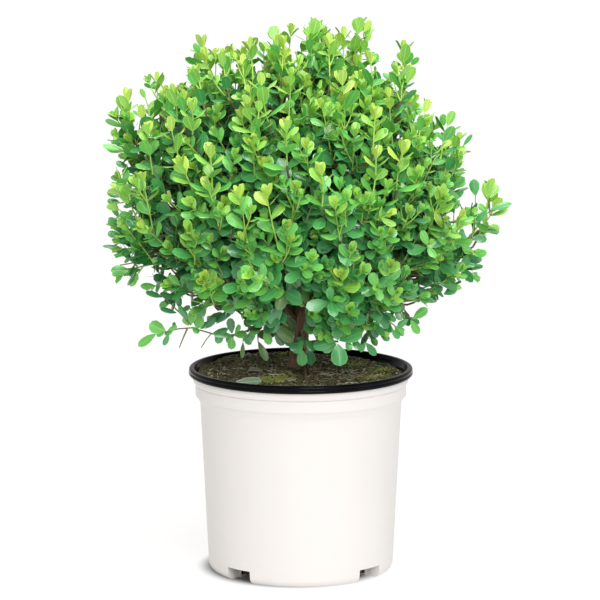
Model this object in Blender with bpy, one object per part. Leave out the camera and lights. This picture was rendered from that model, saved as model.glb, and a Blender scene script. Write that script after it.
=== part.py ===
"""A young boxwood, kept as a loose round mound, in its round nursery pot.

Metres, +Z up. The origin is the middle of the pot's flat underside. The front is -Y.
Pot and potting mix are turned shapes. The woody frame is a short trunk and tapering boughs.
Round it the crown is shared out among foliage masses, one to each bough. Each mass has a
small dark core, and leafy shoots that stand out of it as far as the crown's outline.
"""

import math
import random

import bmesh
import bpy
from mathutils import Matrix, Vector
from mathutils.bvhtree import BVHTree

# ---------------------------------------------------------------- driving dimensions

GAP = 0.0003  # clearance between neighbouring solids
UP = Vector((0.0, 0.0, 1.0))

POT_HEIGHT = 0.206
RIM_RADIUS = 0.114
RIM_BEAD = 0.0078  # height of the rolled lip
RIM_ROUNDING = 0.0026
RIM_SKIRT = 0.0010  # thickness of the lip's inner skirt
SKIRT_LOW = 0.1815
RIM_WIDTH = 0.0066
RIM_INNER_ROUNDING = 0.0012
RIM_INNER_DEPTH = 0.0065  # how far the lip slopes down on its inner side
COLLAR_RADIUS = 0.106
COLLAR_LOW = 0.1785
COLLAR_HIGH = 0.1915
LEDGE_OUT = 0.0023  # how far the wall steps out above the collar, to carry the lip
LEDGE_RISE = 0.0015
SHOULDER_RADIUS = 0.1012  # where the plain wall starts, under the collar
SHOULDER_HEIGHT = 0.172
BASE_RADIUS = 0.0932
BASE_CORNER = 0.0075
WALL = 0.0012
FLOOR = 0.0022
ROUND_STEPS = 36

POCKET_COUNT = 4  # drain pockets in the corner of the base
POCKET_TURN = math.radians(48.0)
POCKET_WIDTH = 0.030
POCKET_DEPTH = 0.018
POCKET_HEIGHT = 0.0135
POCKET_WALL = 0.0016
POCKET_BELOW = 0.004  # how far its cutter reaches below the pot
SLOT_WIDTH = 0.014  # the drain slot in a pocket's roof
SLOT_DEPTH = 0.007

SOIL_EDGE = 0.1965  # height of the potting mix at the pot's wall
SOIL_TOP = 0.1990  # and round the trunk
SOIL_FLAT_RADIUS = 0.024
SOIL_LUMPS = 0.0011

TRUNK_FOOT = Vector((-0.004, 0.006, SOIL_TOP + GAP))
TRUNK_TIP = Vector((0.003, 0.000, 0.352))
TRUNK_BEND = Vector((0.0045, -0.0030, 0.0))
TRUNK_RADIUS = 0.0078
TRUNK_TIP_RADIUS = 0.0030
TRUNK_RINGS = 10
TRUNK_SIDES = 10
FLARE = 0.40  # how much wider the foot is than the trunk
FLARE_RIDGE = 0.14
FLARE_SHARE = 0.24  # of the trunk's length
FIRST_BOUGH = 0.242  # height where the lowest bough leaves the trunk
LAST_BOUGH = 0.338
BOUGH_SHARE = 0.60  # a bough's radius where it starts, as a share of the trunk's there
BOUGH_TIP_RADIUS = 0.0017
BOUGH_SIDES = 6
BOUGH_SPANS = 4
BOUGH_BOW = 0.10  # how far a bough bows out and down, as a share of its length
BOUGH_ENDS = 0.45  # share of the outline
STEM_STRAIGHT = 0.005  # how far a mass's stem runs on in its bough's line

CROWN_CENTRE = Vector((0.0, 0.0, 0.384))
CROWN_RADII = Vector((0.186, 0.182, 0.168))
# Where the outline bulges or falls in: azimuth from +X, elevation, how far, over what angle.
CROWN_LOBES = (
    (175.0, 24.0, 0.014, 26.0),
    (190.0, -14.0, 0.008, 24.0),
    (-4.0, -16.0, 0.010, 22.0),
    (10.0, 38.0, -0.015, 20.0),
    (80.0, 20.0, 0.008, 30.0),
    (265.0, -30.0, 0.006, 30.0),
)
# Rings of masses: name, how many, elevation seen from the crown's centre, first azimuth.
MASS_RINGS = (
    ("low", 5, -31.0, 18.0),
    ("middle", 6, 8.0, 30.0),
    ("high", 4, 50.0, 20.0),
    ("top", 1, 90.0, 0.0),
)
HOLLOW = 0.47  # share of the outline inside which only limbs grow
CORE = 0.68  # share of the outline that the cores reach
CORE_INNER = 0.52
CORE_SPACING = 0.003  # from a core to the edge of its mass's space
CELL_SPACING = 0.0009  # from a leaf to the edge of its mass's space

SHOOT_COUNT = 106  # spread evenly over the whole outline
SHOOT_UNEVEN = (0.93, 1.03)  # how far they reach, as shares of the outline
SHOOT_START = 0.56  # share of the outline where they start, inside the core
SHOOT_RISE = 0.016  # how much lower they start than straight inward from their tips
SHOOT_GATHER = 0.4  # how far their starts are drawn to the middle of the core
LEAFY_FROM = 0.70  # share of the outline where their leaves begin, just outside the core
LEAFY_STEPS = 24
TWIG_RADIUS = 0.0016
LEAF_LENGTH = 0.038
LEAF_WIDTH = 0.025
LEAF_THICKNESS = 0.0011
LEAF_FOLD = 0.05  # how far the edges rise above the midrib, as a share of the length
LEAF_OPEN = math.radians(58.0)  # between leaf and shoot
LEAF_FITS = ((1.0, 1.0), (0.7, 1.0), (1.0, 0.7), (0.4, 0.7))  # tried in turn: angle, size
LEAF_WIDEST = 0.58  # share of its length
TIP_LEAF_SUNK = 0.15  # share of a tip leaf's length inside the end of its twig
SPACE_FROM_POT = 0.003
SPACE_FROM_LIMBS = 0.0015
# A leaf's triangles. Points 0 to 3 are its outline, and 4 and 5 the sides of its middle.
LEAF_FACES = tuple((k, (k + 1) % 4, 4) for k in range(4)) + tuple(
    ((k + 1) % 4, k, 5) for k in range(4)
)
# Along a shoot: share of its leafy length, turn round it, and size.
LEAF_PLACES = (
    (0.0, 0.0, 1.0),
    (0.1, math.pi, 1.0),
    (0.6, math.pi / 2, 0.9),
    (0.7, -math.pi / 2, 0.9),
)
SEED = 12

# The highest and furthest leaf tips.
REACHING_TIPS = (
    Vector((0.208, -0.012, 0.372)),
    Vector((0.184, -0.040, 0.300)),
    Vector((-0.160, -0.035, 0.243)),
    Vector((-0.197, -0.020, 0.432)),
    Vector((-0.192, 0.020, 0.306)),
    Vector((-0.104, -0.020, 0.536)),
    Vector((-0.032, 0.010, 0.557)),
    Vector((0.012, -0.015, 0.564)),
    Vector((0.062, 0.012, 0.556)),
    Vector((0.110, -0.010, 0.528)),
    Vector((0.020, 0.192, 0.400)),
    Vector((-0.050, -0.188, 0.330)),
)
# A low sprig in front of the trunk's foot: where it leaves the trunk, and its leaf tips.
SPRIG_HEIGHT = 0.232
SPRIG_BARE = 0.3
SPRIG_BEND = Vector((0.012, -0.026, 0.229))
SPRIG_TIPS = (
    Vector((0.054, -0.058, 0.232)),
    Vector((0.010, -0.066, 0.222)),
    Vector((0.036, -0.034, 0.262)),
)

GREEN = (0.115, 0.33, 0.045, 1.0)
BARK = (0.115, 0.07, 0.045, 1.0)
POTTING_MIX = (0.045, 0.035, 0.024, 1.0)
WHITE_PLASTIC = (0.86, 0.84, 0.80, 1.0)
BLACK_PLASTIC = (0.012, 0.012, 0.014, 1.0)


# ---------------------------------------------------------------- helpers


def clear_scene():
    for obj in list(bpy.data.objects):
        bpy.data.objects.remove(obj)


def make_material(name, colour, roughness):
    material = bpy.data.materials.new(name)
    material.use_nodes = True
    shader = material.node_tree.nodes["Principled BSDF"]
    shader.inputs["Base Color"].default_value = colour
    shader.inputs["Roughness"].default_value = roughness
    shader.inputs["Metallic"].default_value = 0.0
    return material


def object_from(bm, name, material=None, collection=None):
    mesh = bpy.data.meshes.new(name)
    bm.to_mesh(mesh)
    bm.free()
    if material is not None:
        mesh.materials.append(material)
    obj = bpy.data.objects.new(name, mesh)
    home = collection or bpy.context.scene.collection
    home.objects.link(obj)
    return obj


def new_collection(name):
    collection = bpy.data.collections.new(name)
    bpy.context.scene.collection.children.link(collection)
    return collection


def as_cutter(obj):
    obj.hide_render = True
    obj.display_type = "WIRE"
    return obj


def cut_by(obj, cutter):
    modifier = obj.modifiers.new("cut_" + cutter.name, "BOOLEAN")
    modifier.operation = "DIFFERENCE"
    modifier.solver = "EXACT"
    modifier.object = cutter


def shade(obj, angle):
    obj.data.shade_smooth()
    obj.data.set_sharp_from_angle(angle=math.radians(angle))


def turned(name, profile, closed=False, material=None):
    """A profile of (radius, height) points spun round Z. A closed profile is a loop clear of
    the axis, and any other starts and ends on the axis."""
    bm = bmesh.new()
    points = [bm.verts.new((radius, 0.0, height)) for radius, height in profile]
    pairs = list(zip(points, points[1:]))
    if closed:
        pairs.append((points[-1], points[0]))
    edges = [bm.edges.new(pair) for pair in pairs]
    bmesh.ops.spin(
        bm,
        geom=points + edges,
        cent=(0, 0, 0),
        axis=(0, 0, 1),
        angle=math.tau,
        steps=ROUND_STEPS,
        use_merge=True,
    )
    bmesh.ops.remove_doubles(bm, verts=bm.verts[:], dist=1e-6)
    bmesh.ops.recalc_face_normals(bm, faces=bm.faces[:])
    return object_from(bm, name, material)


def arc(centre, radius, start, end, steps):
    """Points along an arc of a turned profile, from one angle to another in degrees."""
    angles = [math.radians(start + (end - start) * i / steps) for i in range(steps + 1)]
    return [
        (centre[0] + radius * math.cos(a), centre[1] + radius * math.sin(a))
        for a in angles
    ]


def direction(azimuth, elevation):
    """The unit vector at an azimuth from +X and an elevation, both in degrees."""
    a, e = math.radians(azimuth), math.radians(elevation)
    return Vector((math.cos(a) * math.cos(e), math.sin(a) * math.cos(e), math.sin(e)))


def tube(name, centres, radii, sides, material=None, collection=None, ridge=None, level=False):
    """A limb with flat ends through a list of centres. ridge(i, angle) is how many times
    wider ring i is at an angle. A level limb's first ring is horizontal."""
    bm = bmesh.new()
    rings = []
    last = len(centres) - 1
    across = None
    for i, centre in enumerate(centres):
        along = (centres[min(i + 1, last)] - centres[max(i - 1, 0)]).normalized()
        if level and i == 0:
            along = UP
        if across is None:
            across = along.orthogonal()
        across = (across - along * across.dot(along)).normalized()
        other = along.cross(across)
        ring = []
        for k in range(sides):
            angle = math.tau * k / sides
            radius = radii[i] * (ridge(i, angle) if ridge else 1.0)
            arm = across * math.cos(angle) + other * math.sin(angle)
            ring.append(bm.verts.new(centre + arm * radius))
        rings.append(ring)
    for lower, upper in zip(rings, rings[1:]):
        for k in range(sides):
            n = (k + 1) % sides
            bm.faces.new((lower[k], lower[n], upper[n], upper[k]))
    bm.faces.new(list(reversed(rings[0])))
    bm.faces.new(rings[-1])
    return object_from(bm, name, material, collection)


def curve_points(start, bend, end, spans):
    """Points evenly along a quadratic curve."""
    shares = [i / spans for i in range(spans + 1)]
    return [start.lerp(bend, s).lerp(bend.lerp(end, s), s) for s in shares]


# ---------------------------------------------------------------- pot and potting mix


def wall_inside(clearance):
    """The profile inside the white wall, from the floor's middle to the shoulder."""
    inset = WALL + clearance
    floor = FLOOR + clearance
    corner = BASE_CORNER - inset
    flat = BASE_RADIUS - BASE_CORNER
    return [
        (0.0, floor),
        (flat, floor),
        (flat + 0.6 * corner, floor + 0.3 * corner),
        (BASE_RADIUS - inset, floor + corner),
        (SHOULDER_RADIUS - inset, SHOULDER_HEIGHT + clearance),
    ]


def boxes_round(name, inner, outer, width, low, high):
    """A cutter box at each drain pocket, between two radii and two heights."""
    bm = bmesh.new()
    size = Matrix.Diagonal((outer - inner, width, high - low, 1.0))
    place = Matrix.Translation(((outer + inner) / 2, 0.0, (high + low) / 2))
    for k in range(POCKET_COUNT):
        turn = Matrix.Rotation(POCKET_TURN + math.tau * k / POCKET_COUNT, 4, "Z")
        made = bmesh.ops.create_cube(bm, size=1.0)["verts"]
        bmesh.ops.transform(bm, matrix=turn @ place @ size, verts=made)
    return as_cutter(object_from(bm, name))


def pocket_boxes(name, grow):
    """The space of the drain pockets, grown by some thickness sideways, inwards and up."""
    inner = BASE_RADIUS - POCKET_DEPTH - grow
    width = POCKET_WIDTH + 2 * grow
    return boxes_round(name, inner, RIM_RADIUS, width, -POCKET_BELOW, POCKET_HEIGHT + grow)


def drain_slots(name):
    """The slots through the roofs of the drain pockets."""
    middle = BASE_RADIUS - POCKET_DEPTH / 2
    inner, outer = middle - SLOT_DEPTH / 2, middle + SLOT_DEPTH / 2
    low, high = POCKET_HEIGHT - POCKET_WALL, POCKET_HEIGHT + 2 * POCKET_WALL
    return boxes_round(name, inner, outer, SLOT_WIDTH, low, high)


def build_pot_wall(material):
    """The white wall with its floor, collar and drain pockets."""
    crest = POT_HEIGHT - RIM_BEAD - GAP
    flat = BASE_RADIUS - BASE_CORNER
    outside = [
        (0.0, 0.0),
        *arc((flat, BASE_CORNER), BASE_CORNER, -90.0, 0.0, 3),
        (SHOULDER_RADIUS, SHOULDER_HEIGHT),
        (COLLAR_RADIUS - GAP, COLLAR_LOW),
        (COLLAR_RADIUS, COLLAR_HIGH),
        (COLLAR_RADIUS + LEDGE_OUT, COLLAR_HIGH + LEDGE_RISE),
        (COLLAR_RADIUS + LEDGE_OUT, crest),
        (0.0, crest),
    ]
    collar_inside = COLLAR_RADIUS - WALL
    above = POT_HEIGHT + RIM_BEAD
    inside = wall_inside(0.0) + [
        (collar_inside, COLLAR_LOW + WALL),
        (collar_inside, above),
        (0.0, above),
    ]
    cavity = as_cutter(turned("cavity_cutter", inside))
    cut_by(cavity, pocket_boxes("pocket_wall_guide", POCKET_WALL))
    wall = turned("pot_wall", outside, material=material)
    cut_by(wall, cavity)
    cut_by(wall, pocket_boxes("pocket_cutter", 0.0))
    cut_by(wall, drain_slots("drain_slot_cutter"))
    shade(wall, 35.0)


def skirt_inner_radius():
    return COLLAR_RADIUS - WALL - GAP - RIM_SKIRT


def build_pot_rim(material):
    """The black lip: a rolled bead on the wall's top, with a skirt down inside it."""
    bead_low = POT_HEIGHT - RIM_BEAD
    small = RIM_INNER_ROUNDING
    skirt = skirt_inner_radius()
    outer_middle = (RIM_RADIUS - RIM_ROUNDING, POT_HEIGHT - RIM_ROUNDING)
    inner_middle = (RIM_RADIUS - RIM_WIDTH + small, POT_HEIGHT - small)
    profile = [
        *arc(outer_middle, RIM_ROUNDING, 0.0, 90.0, 3),
        *arc(inner_middle, small, 90.0, 180.0, 1),
        (skirt, POT_HEIGHT - RIM_INNER_DEPTH),
        (skirt, SKIRT_LOW),
        (skirt + RIM_SKIRT, SKIRT_LOW),
        (skirt + RIM_SKIRT, bead_low),
        (RIM_RADIUS - small, bead_low),
        (RIM_RADIUS, bead_low + small),
    ]
    shade(turned("pot_rim", profile, closed=True, material=material), 35.0)


def build_soil(material):
    """The potting mix: a plug that fills the pot, with a low mound round the trunk."""
    side = skirt_inner_radius() - GAP
    profile = wall_inside(GAP) + [(side, COLLAR_LOW)]
    for share in (0.0, 0.3, 0.65, 1.0):
        radius = side + (SOIL_FLAT_RADIUS - side) * share
        profile.append((radius, SOIL_EDGE + (SOIL_TOP - SOIL_EDGE) * share**0.7))
    profile.append((0.0, SOIL_TOP))
    soil = turned("soil", profile, material=material)
    rng = random.Random(SEED)
    for vertex in soil.data.vertices:
        radius = vertex.co.xy.length
        if vertex.co.z > SOIL_EDGE + GAP and radius > SOIL_FLAT_RADIUS + GAP:
            vertex.co.z += rng.uniform(-SOIL_LUMPS, SOIL_LUMPS)
    cut_by(soil, pocket_boxes("pocket_clearance_guide", POCKET_WALL + GAP))


# ---------------------------------------------------------------- trunk and boughs


def trunk_point(share):
    """The trunk's centre line, with one slow bend, from 0 at the foot to 1 at the tip."""
    return TRUNK_FOOT.lerp(TRUNK_TIP, share) + TRUNK_BEND * math.sin(math.pi * share)


def trunk_radius(share):
    return TRUNK_RADIUS + (TRUNK_TIP_RADIUS - TRUNK_RADIUS) * share**1.2


def trunk_share(height):
    return (height - TRUNK_FOOT.z) / (TRUNK_TIP.z - TRUNK_FOOT.z)


def build_trunk(material):
    """The trunk, and a guide a little fatter that keeps the limbs clear of it."""
    shares = [(i / (TRUNK_RINGS - 1)) ** 1.4 for i in range(TRUNK_RINGS)]
    centres = [trunk_point(share) for share in shares]
    radii = [trunk_radius(share) for share in shares]

    def root_ridge(i, angle):
        fade = max(0.0, 1.0 - shares[i] / FLARE_SHARE) ** 2
        return 1.0 + fade * (FLARE + FLARE_RIDGE * math.cos(3 * angle + 0.6))

    trunk = tube("trunk", centres, radii, TRUNK_SIDES, material, ridge=root_ridge, level=True)
    shade(trunk, 50.0)
    guide = tube(
        "trunk_clearance_guide",
        centres + [TRUNK_TIP + UP * GAP],
        [radius + GAP for radius in radii] + [TRUNK_TIP_RADIUS + GAP],
        TRUNK_SIDES,
        level=True,
    )
    return as_cutter(guide)


def every_other(items):
    """The items with their neighbours parted, so that boughs leave the trunk all round."""
    return items[0::2] + items[1::2]


def bough_lines(masses):
    """Each bough's points, from the trunk's centre line to the inner face of its mass. They
    leave the trunk one above the other, ring by ring, and the last goes on from its tip."""
    order = []
    for ring, count, _, _ in MASS_RINGS:
        order += every_other([m for m in masses if m[0].startswith(ring)])
    lines = {}
    for i, (name, way) in enumerate(order):
        height = FIRST_BOUGH + (LAST_BOUGH - FIRST_BOUGH) * i / (len(order) - 2)
        share = min(1.0, trunk_share(height))
        start = trunk_point(share)
        end = CROWN_CENTRE + way * crown_reach(way) * BOUGH_ENDS
        bow = Vector((way.x, way.y, -0.8)) * BOUGH_BOW * (end - start).length
        bend = start.lerp(end, 0.5) + bow
        lines[name] = (curve_points(start, bend, end, BOUGH_SPANS), share)
    return lines


def build_bough(name, points, share, guide, material):
    start = trunk_radius(share) * BOUGH_SHARE
    radii = [
        start + (BOUGH_TIP_RADIUS - start) * i / BOUGH_SPANS for i in range(BOUGH_SPANS + 1)
    ]
    bough = tube("bough_" + name, points, radii, BOUGH_SIDES, material)
    cut_by(bough, guide)
    shade(bough, 50.0)
    return list(zip(points, radii))


# ---------------------------------------------------------------- the crown's outline


def crown_reach(way):
    """How far the crown's outline is from its centre, along a unit vector."""
    a, b, c = CROWN_RADII
    reach = 1.0 / math.sqrt((way.x / a) ** 2 + (way.y / b) ** 2 + (way.z / c) ** 2)
    for azimuth, elevation, size, spread in CROWN_LOBES:
        off = math.degrees(way.angle(direction(azimuth, elevation)))
        reach += size * math.exp(-((off / spread) ** 2))
    return reach


def crown_masses():
    """Each mass's name, and the direction of its middle from the crown's centre."""
    masses = []
    for ring, count, elevation, first in MASS_RINGS:
        for k in range(count):
            name = ring if count == 1 else f"{ring}_{k + 1}"
            masses.append((name, direction(first + 360.0 * k / count, elevation)))
    return masses


def parting_planes(own, masses):
    """The normals of the planes through the crown's centre that part one mass from the
    others. Below the centre is the sprig's space, where the trunk comes up."""
    others = [way for _, way in masses] + [-UP]
    return [(way - own).normalized() for way in others if (way - own).length > 0.01]


def in_cell(point, planes):
    """True if a point is in a mass's own share of the crown and outside the hollow."""
    out = point - CROWN_CENTRE
    beyond = out.length > HOLLOW * crown_reach(out.normalized())
    return beyond and all(out.dot(normal) <= -CELL_SPACING for normal in planes)


def clear_of_pot(point):
    inside = point.xy.length < skirt_inner_radius() - SPACE_FROM_POT
    return point.z > (SOIL_TOP if inside else POT_HEIGHT) + SPACE_FROM_POT


def clear_of_limbs(point, beads):
    return all((point - centre).length > radius + SPACE_FROM_LIMBS for centre, radius in beads)


def spread_over_sphere(count):
    """Directions spread evenly over a sphere, a golden angle apart."""
    golden = math.pi * (3.0 - math.sqrt(5.0))
    ways = []
    for i in range(count):
        z = 1.0 - (2.0 * i + 1.0) / count
        r = math.sqrt(1.0 - z * z)
        ways.append(Vector((r * math.cos(golden * i), r * math.sin(golden * i), z)))
    return ways


# ---------------------------------------------------------------- foliage


def core_object(name, own, planes, material):
    """A faceted lump in the middle of a mass's share of the crown."""
    bm = bmesh.new()
    bmesh.ops.create_icosphere(bm, subdivisions=2, radius=1.0)
    for vertex in bm.verts:
        way = vertex.co.normalized()
        vertex.co = CROWN_CENTRE + way * crown_reach(way) * CORE
    cuts = [(normal, CORE_SPACING) for normal in planes]
    cuts.append((-own, crown_reach(own) * CORE_INNER))
    for normal, inset in cuts:
        bmesh.ops.bisect_plane(
            bm,
            geom=bm.verts[:] + bm.edges[:] + bm.faces[:],
            plane_co=CROWN_CENTRE - normal * inset,
            plane_no=normal,
            clear_outer=True,
            dist=1e-7,
        )
        opened = [edge for edge in bm.edges if edge.is_boundary]
        if opened:
            bmesh.ops.holes_fill(bm, edges=opened, sides=0)
    bmesh.ops.remove_doubles(bm, verts=bm.verts[:], dist=0.002)
    bmesh.ops.triangulate(bm, faces=bm.faces[:])
    bmesh.ops.recalc_face_normals(bm, faces=bm.faces[:])
    return object_from(bm, name, material)


def surface_of(obj):
    """An object's faces, as a tree that tells what crosses them."""
    bm = bmesh.new()
    bm.from_mesh(obj.data)
    tree = BVHTree.FromBMesh(bm)
    bm.free()
    return tree


def outside_core(start, end):
    """Where a shoot comes out of its mass's core, and its leaves begin."""
    for i in range(LEAFY_STEPS):
        point = start.lerp(end, i / LEAFY_STEPS)
        out = point - CROWN_CENTRE
        if out.length > LEAFY_FROM * crown_reach(out.normalized()):
            return point
    return end


def along_sprig(start, end):
    return start.lerp(end, SPRIG_BARE)


def leaf_points(base, along, across, length):
    """A leaf: four points round its outline, and one each side of its middle."""
    up = along.cross(across).normalized()
    width = length * LEAF_WIDTH / LEAF_LENGTH
    outline = ((0.0, 0.0), (LEAF_WIDEST, 0.5), (1.0, 0.0), (LEAF_WIDEST, -0.5))
    points = []
    for far, side in outline:
        lift = length * LEAF_FOLD * 2 * abs(side)
        points.append(base + along * length * far + across * width * side + up * lift)
    middle = base + along * length * LEAF_WIDEST
    points.append(middle + up * LEAF_THICKNESS / 2)
    points.append(middle - up * LEAF_THICKNESS / 2)
    return points


def leaf_object(points, collection):
    bm = bmesh.new()
    corners = [bm.verts.new(point) for point in points]
    for face in LEAF_FACES:
        bm.faces.new([corners[i] for i in face])
    bmesh.ops.recalc_face_normals(bm, faces=bm.faces[:])
    return object_from(bm, "leaf", collection=collection)


def add_leaf(base, heading, out, opened, length, allowed, grown):
    """A leaf that opens from its shoot. It stands closer to the shoot, or is smaller, where it
    would leave its mass's space or cross another leaf. It is left out if that doesn't help."""
    collection, taken = grown
    across = heading.cross(out).normalized()
    for angle, size in LEAF_FITS:
        along = heading * math.cos(opened * angle) + out * math.sin(opened * angle)
        points = leaf_points(base, along, across, length * size)
        shape = BVHTree.FromPolygons(points, LEAF_FACES, all_triangles=True)
        if all(allowed(point) for point in points) and not any(map(shape.overlap, taken)):
            leaf_object(points, collection)
            taken.append(shape)
            return


def grow_shoot(rng, start, tip, leafy_from, allowed, grown):
    """A three-sided twig with two opposite pairs of leaves, the second a quarter turn round
    from the first, and a leaf at its end. What isn't allowed where it falls is skipped."""
    collection, taken = grown
    heading = (tip - start).normalized()
    end = tip - heading * LEAF_LENGTH * (1.0 - TIP_LEAF_SUNK)
    first = leafy_from(start, end)
    if not (allowed(first) and allowed(end)):
        return
    radii = [TWIG_RADIUS, TWIG_RADIUS * 0.6]
    twig = tube("twig", [start, end], radii, 3, collection=collection)
    side = heading.orthogonal().normalized()
    side.rotate(Matrix.Rotation(rng.uniform(0.0, math.tau), 3, heading))
    for share, turn, size in LEAF_PLACES:
        out = side.copy()
        out.rotate(Matrix.Rotation(turn, 3, heading))
        opened = LEAF_OPEN * rng.uniform(0.85, 1.15)
        base = first.lerp(end, share)
        add_leaf(base, heading, out, opened, LEAF_LENGTH * size, allowed, grown)
    base = end - heading * LEAF_LENGTH * TIP_LEAF_SUNK
    add_leaf(base, heading, side, rng.uniform(0.0, 0.3), LEAF_LENGTH, allowed, grown)
    taken.append(surface_of(twig))


def fuse(obj, collection):
    """Unite an object with all that is in a collection, and keep the one outer body: a
    sealed hollow is filled, and a loose scrap is dropped."""
    modifier = obj.modifiers.new("fuse", "BOOLEAN")
    modifier.operation = "UNION"
    modifier.solver = "MANIFOLD"
    modifier.operand_type = "COLLECTION"
    modifier.collection = collection
    fused = obj.evaluated_get(bpy.context.evaluated_depsgraph_get())
    bm = bmesh.new()
    bm.from_mesh(fused.to_mesh())
    fused.to_mesh_clear()
    obj.modifiers.clear()
    for part in list(collection.objects):
        bpy.data.objects.remove(part)
    bpy.data.collections.remove(collection)
    drop_all_but_largest(bm)
    on_an_edge = [vertex for vertex in bm.verts if len(vertex.link_edges) == 2]
    bmesh.ops.dissolve_verts(bm, verts=on_an_edge)
    bmesh.ops.triangulate(bm, faces=bm.faces[:], ngon_method="EAR_CLIP")
    bm.to_mesh(obj.data)
    bm.free()


def drop_all_but_largest(bm):
    unseen = set(bm.verts)
    bodies = []
    while unseen:
        body = {unseen.pop()}
        front = list(body)
        while front:
            vertex = front.pop()
            for edge in vertex.link_edges:
                other = edge.other_vert(vertex)
                if other not in body:
                    body.add(other)
                    front.append(other)
        unseen -= body
        bodies.append(body)
    bodies.sort(key=len)
    scraps = [vertex for body in bodies[:-1] for vertex in body]
    bmesh.ops.delete(bm, geom=scraps, context="VERTS")


def crown_tips(rng):
    """Every leaf tip that a shoot of the crown reaches for."""
    tips = list(REACHING_TIPS)
    for way in spread_over_sphere(SHOOT_COUNT):
        tips.append(CROWN_CENTRE + way * crown_reach(way) * rng.uniform(*SHOOT_UNEVEN))
    return tips


def build_mass(name, own, masses, bough, tips, material):
    planes = parting_planes(own, masses)

    def allowed(point):
        return in_cell(point, planes) and clear_of_pot(point)

    rng = random.Random(f"{SEED} {name}")
    core = core_object("foliage_" + name, own, planes, material)
    grown = (new_collection("grown"), [surface_of(core)])
    heart = CROWN_CENTRE + own * crown_reach(own) * (CORE_INNER + CORE) / 2
    along = (bough[-1] - bough[-2]).normalized()
    foot = bough[-1] + along * GAP
    line = [foot, foot + along * STEM_STRAIGHT, heart]
    tube("stem", line, [BOUGH_TIP_RADIUS] * 3, BOUGH_SIDES, collection=grown[0])
    for tip in tips:
        if not in_cell(tip, planes):
            continue
        out = (tip - CROWN_CENTRE).normalized()
        start = CROWN_CENTRE + out * crown_reach(out) * SHOOT_START - UP * SHOOT_RISE
        start = start.lerp(heart, SHOOT_GATHER)
        grow_shoot(rng, start, tip, outside_core, allowed, grown)
    fuse(core, grown[0])


def build_sprig(masses, beads, guide, material):
    """The low sprig: a stem from the trunk's side, with a few shoots and no core."""
    planes = parting_planes(-UP, masses)

    def allowed(point):
        return in_cell(point, planes) and clear_of_pot(point) and clear_of_limbs(point, beads)

    rng = random.Random(f"{SEED} sprig")
    start = trunk_point(trunk_share(SPRIG_HEIGHT))
    sprig = tube("foliage_sprig", [start, SPRIG_BEND], [TWIG_RADIUS] * 2, 5, material)
    grown = (new_collection("grown"), [])
    for tip in SPRIG_TIPS:
        start = SPRIG_BEND.lerp(tip, -0.03)
        grow_shoot(rng, start, tip, along_sprig, allowed, grown)
    fuse(sprig, grown[0])
    cut_by(sprig, guide)


# ---------------------------------------------------------------- the whole plant


def main():
    clear_scene()
    white = make_material("white_plastic", WHITE_PLASTIC, 0.35)
    black = make_material("black_plastic", BLACK_PLASTIC, 0.4)
    mix = make_material("potting_mix", POTTING_MIX, 0.95)
    bark = make_material("bark", BARK, 0.85)
    green = make_material("foliage", GREEN, 0.4)

    build_pot_wall(white)
    build_pot_rim(black)
    build_soil(mix)
    guide = build_trunk(bark)
    beads = [(trunk_point(i / 30), trunk_radius(i / 30)) for i in range(31)]

    masses = crown_masses()
    tips = crown_tips(random.Random(SEED))
    lines = bough_lines(masses)
    for name, way in masses:
        points, share = lines[name]
        beads += build_bough(name, points, share, guide, bark)
        build_mass(name, way, masses, points, tips, green)
    build_sprig(masses, beads, guide, green)


main()
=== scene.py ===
# %% [markdown]
# # A young boxwood in its nursery pot
#
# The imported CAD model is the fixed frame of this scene. It holds the pot, the potting mix,
# the trunk and its boughs, and coarse leafy masses that stand for the crown. Here each of
# those gets the looks of the real one: satin plastic, crumbly peat, fissured bark, and
# some twenty-one thousand small leaves on fine shoots.
#
# Everything is in metres with +Z up, and the pot stands on the origin.

import math
import random

import bmesh
import bpy
import numpy as np
from mathutils import Matrix, Vector, noise


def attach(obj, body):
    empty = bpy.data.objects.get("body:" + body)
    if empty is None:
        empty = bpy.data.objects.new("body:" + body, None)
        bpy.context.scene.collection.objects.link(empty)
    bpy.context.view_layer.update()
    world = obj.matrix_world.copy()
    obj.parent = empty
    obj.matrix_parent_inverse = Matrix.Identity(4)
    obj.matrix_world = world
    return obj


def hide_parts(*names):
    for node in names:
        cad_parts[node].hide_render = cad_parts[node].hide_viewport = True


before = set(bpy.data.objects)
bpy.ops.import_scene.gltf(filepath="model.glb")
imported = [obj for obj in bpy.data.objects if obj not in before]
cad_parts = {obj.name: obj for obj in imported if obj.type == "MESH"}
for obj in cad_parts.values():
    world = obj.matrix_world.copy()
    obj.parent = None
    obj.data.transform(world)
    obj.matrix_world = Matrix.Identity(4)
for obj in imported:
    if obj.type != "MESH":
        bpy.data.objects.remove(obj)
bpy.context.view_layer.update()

# %% [markdown]
# ## Camera
#
# A long lens from three metres away keeps the pot's sides nearly parallel. It looks down
# by nine degrees, so that the potting mix shows as a flat ellipse inside the lip.

# %% Camera
FOCAL_SHARE = 3033.0 / 600.0  # focal length over the width of the picture
PITCH_DOWN = 9.01
CAMERA_AWAY = 3.0
CAMERA_HEIGHT = 0.749
CAMERA_SIDE = -0.0008

camera = bpy.data.objects.new("camera", bpy.data.cameras.new("camera"))
bpy.context.scene.collection.objects.link(camera)
bpy.context.scene.camera = camera
camera.data.lens = camera.data.sensor_width * FOCAL_SHARE
camera.data.clip_end = 100.0
camera.location = (CAMERA_SIDE, -CAMERA_AWAY, CAMERA_HEIGHT)
camera.rotation_euler = (math.radians(90.0 - PITCH_DOWN), 0.0, 0.0)
print("lens:", round(camera.data.lens, 1), "mm")

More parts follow.
